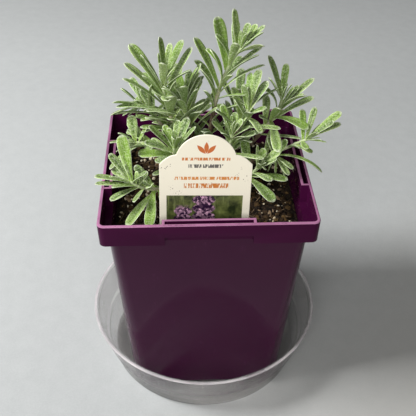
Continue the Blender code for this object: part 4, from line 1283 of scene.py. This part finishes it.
def make_shoot(name, shoot, dice):
    """One shoot: its soft stem and all of its leaves, standing for the shoot's solids."""
    placed = [leaf_at(shoot, leaf, dice, LISTED_TURN) for leaf in shoot["leaves"]]
    placed += [leaf_at(shoot, leaf, dice, FILLING_TURN)
               for leaf in filling_leaves(shoot, dice, *FILLING.get(name, USUAL_FILLING))]
    guide = bpy.data.meshes.new(name + "_points")
    guide.from_pydata([root for root, numbers in placed], [], [])
    for index, label in enumerate(LEAF_VALUES):
        guide.attributes.new(label, "FLOAT", "POINT").data.foreach_set(
            "value", [numbers[index] for root, numbers in placed])
    leaves = grow(name + "_leaves", guide, LEAF_TREE, {
        "Rings": LEAF_RINGS, "Sides": LEAF_SIDES, "Half thickness": LEAF_HALF_THICKNESS,
        "Fold": LEAF_FOLD, "Material": FELTED_LEAF})
    line = guide_line(name + "_line", [stem_row(shoot, WOODY_END - 0.02, 1.0, 40, 0.0, 0.08)])
    stem = grow(name + "_stem", line, STEM_TREE, {"Sides": 10, "Material": SOFT_STEM})
    both = bmesh.new()
    both.from_mesh(leaves)
    leaf_faces = len(both.faces)
    both.from_mesh(stem)
    both.faces.ensure_lookup_table()
    for index, face in enumerate(both.faces):
        face.material_index = 0 if index < leaf_faces else 1
    mesh = plain_mesh(name, both, FELTED_LEAF, SOFT_STEM)
    prefix = "leaf_" + name + "_"
    own_leaves = [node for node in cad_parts
                  if node.startswith(prefix) and node[len(prefix):].isdigit()]
    keep_piece("leafy_shoot_" + name, mesh, "leaf", "shoot_" + name, *own_leaves, smooth_below=75.0)


for number, (shoot_name, shoot) in enumerate(SHOOTS.items()):
    make_shoot(shoot_name, shoot, random.Random(100 + number))


# ---- Studio -----------------------------------------------------------------------------------
# The pot stands on a pale grey surface with painted shade on it, under soft light from the upper
# left, seen from above the front.

def studio_floor():
    """Pale grey paper with the faintest cloud and grain, a painted shadow that is darker and warmer
    towards the front right, and painted shade that is lighter towards the back.
    """
    made, tree, shader = new_material("pale grey surface")
    place = object_place(tree)
    cloud = noise_of(tree, place, 4.0, 3.0, 0.5)
    grain = noise_of(tree, place, 900.0, 3.0, 0.6)
    mottle = noise_of(tree, place, 90.0, 4.0, 0.6)
    tone = total(tree, product(tree, range_of(tree, mottle, 0.3, 0.7), 0.3),
                 product(tree, range_of(tree, grain, 0.3, 0.7), 0.4))
    tone = total(tree, tone, product(tree, cloud, 0.3))
    colour = blend_of(tree, tone, (0.405, 0.425, 0.435, 1.0), (0.500, 0.520, 0.532, 1.0))
    sides = add_node(tree, "ShaderNodeSeparateXYZ", {0: place})
    # Painted shadow: darker and warmer towards the front right.
    painted_light = difference(tree, sides.outputs["X"], sides.outputs["Y"])
    painted_light = product(tree, range_of(tree, painted_light, 0.02, 0.42), range_of(tree, grain, 0.3, 0.7, 0.7, 1.0))
    colour = blend_of(tree, painted_light, colour, (0.400, 0.375, 0.335, 1.0))
    # Painted shade: brighter towards the back and darker towards the front.
    shade = range_of(tree, sides.outputs["Y"], -0.22, 0.45, 0.84, 1.22)
    colour = shaded(tree, colour, shade)
    fill(shader, {"Base Color": colour, "Roughness": 0.7, "Normal": bump(tree, grain, 0.05 * MM)})
    return made


FLOOR_HALF = 1.6
FLOOR_HEIGHT = -0.25 * MM
floor_mesh = bpy.data.meshes.new("studio_floor")
floor_mesh.from_pydata([(x * FLOOR_HALF, y * FLOOR_HALF, FLOOR_HEIGHT)
                        for x, y in ((-1, -1), (1, -1), (1, 1), (-1, 1))], [], [(0, 1, 2, 3)])
floor_mesh.materials.append(studio_floor())
floor = bpy.data.objects.new("studio_floor", floor_mesh)
bpy.context.scene.collection.objects.link(floor)


def soft_light(name, place, target, size, power, colour):
    """A large square lamp that faces a point."""
    lamp = bpy.data.lights.new(name, "AREA")
    lamp.shape = "SQUARE"
    lamp.size = size
    lamp.energy = power
    lamp.color = colour
    holder = bpy.data.objects.new(name, lamp)
    bpy.context.scene.collection.objects.link(holder)
    holder.location = place
    holder.rotation_euler = (Vector(target) - Vector(place)).to_track_quat("-Z", "Y").to_euler()


soft_light("window_light", (-0.78, -0.12, 0.98), (0.0, 0.0, 0.10), 0.38, 18.3, (1.0, 0.99, 0.965))
soft_light("front_fill", (-0.25, -1.25, 0.85), (0.0, 0.0, 0.10), 0.8, 12.5, (1.0, 0.985, 0.95))

world = bpy.data.worlds.new("studio air")
world.use_nodes = True
fill(world.node_tree.nodes["Background"], {"Color": (1.0, 0.985, 0.955, 1.0), "Strength": 0.13})
bpy.context.scene.world = world
bpy.context.scene.view_settings.view_transform = "Standard"

CAMERA_PLACE = Vector((-0.0152, -0.34235, 0.38582))
CAMERA_YAW = 0.0503
CAMERA_PITCH = 0.6679
CAMERA_ROLL = 0.0125
forward = Vector((math.sin(CAMERA_YAW) * math.cos(CAMERA_PITCH),
                  math.cos(CAMERA_YAW) * math.cos(CAMERA_PITCH), -math.sin(CAMERA_PITCH)))
level_right = Vector((math.cos(CAMERA_YAW), -math.sin(CAMERA_YAW), 0.0))
level_up = level_right.cross(forward)
right = level_right * math.cos(CAMERA_ROLL) + level_up * math.sin(CAMERA_ROLL)
up = level_up * math.cos(CAMERA_ROLL) - level_right * math.sin(CAMERA_ROLL)
camera = bpy.data.objects.new("camera", bpy.data.cameras.new("camera"))
camera.data.sensor_width = 36.0
camera.data.lens = 60.02
camera.data.clip_start = 0.01
camera.matrix_world = Matrix.Translation(CAMERA_PLACE) @ Matrix(
    ((right.x, up.x, -forward.x), (right.y, up.y, -forward.y), (right.z, up.z, -forward.z))).to_4x4()
bpy.context.scene.collection.objects.link(camera)
bpy.context.scene.camera = camera
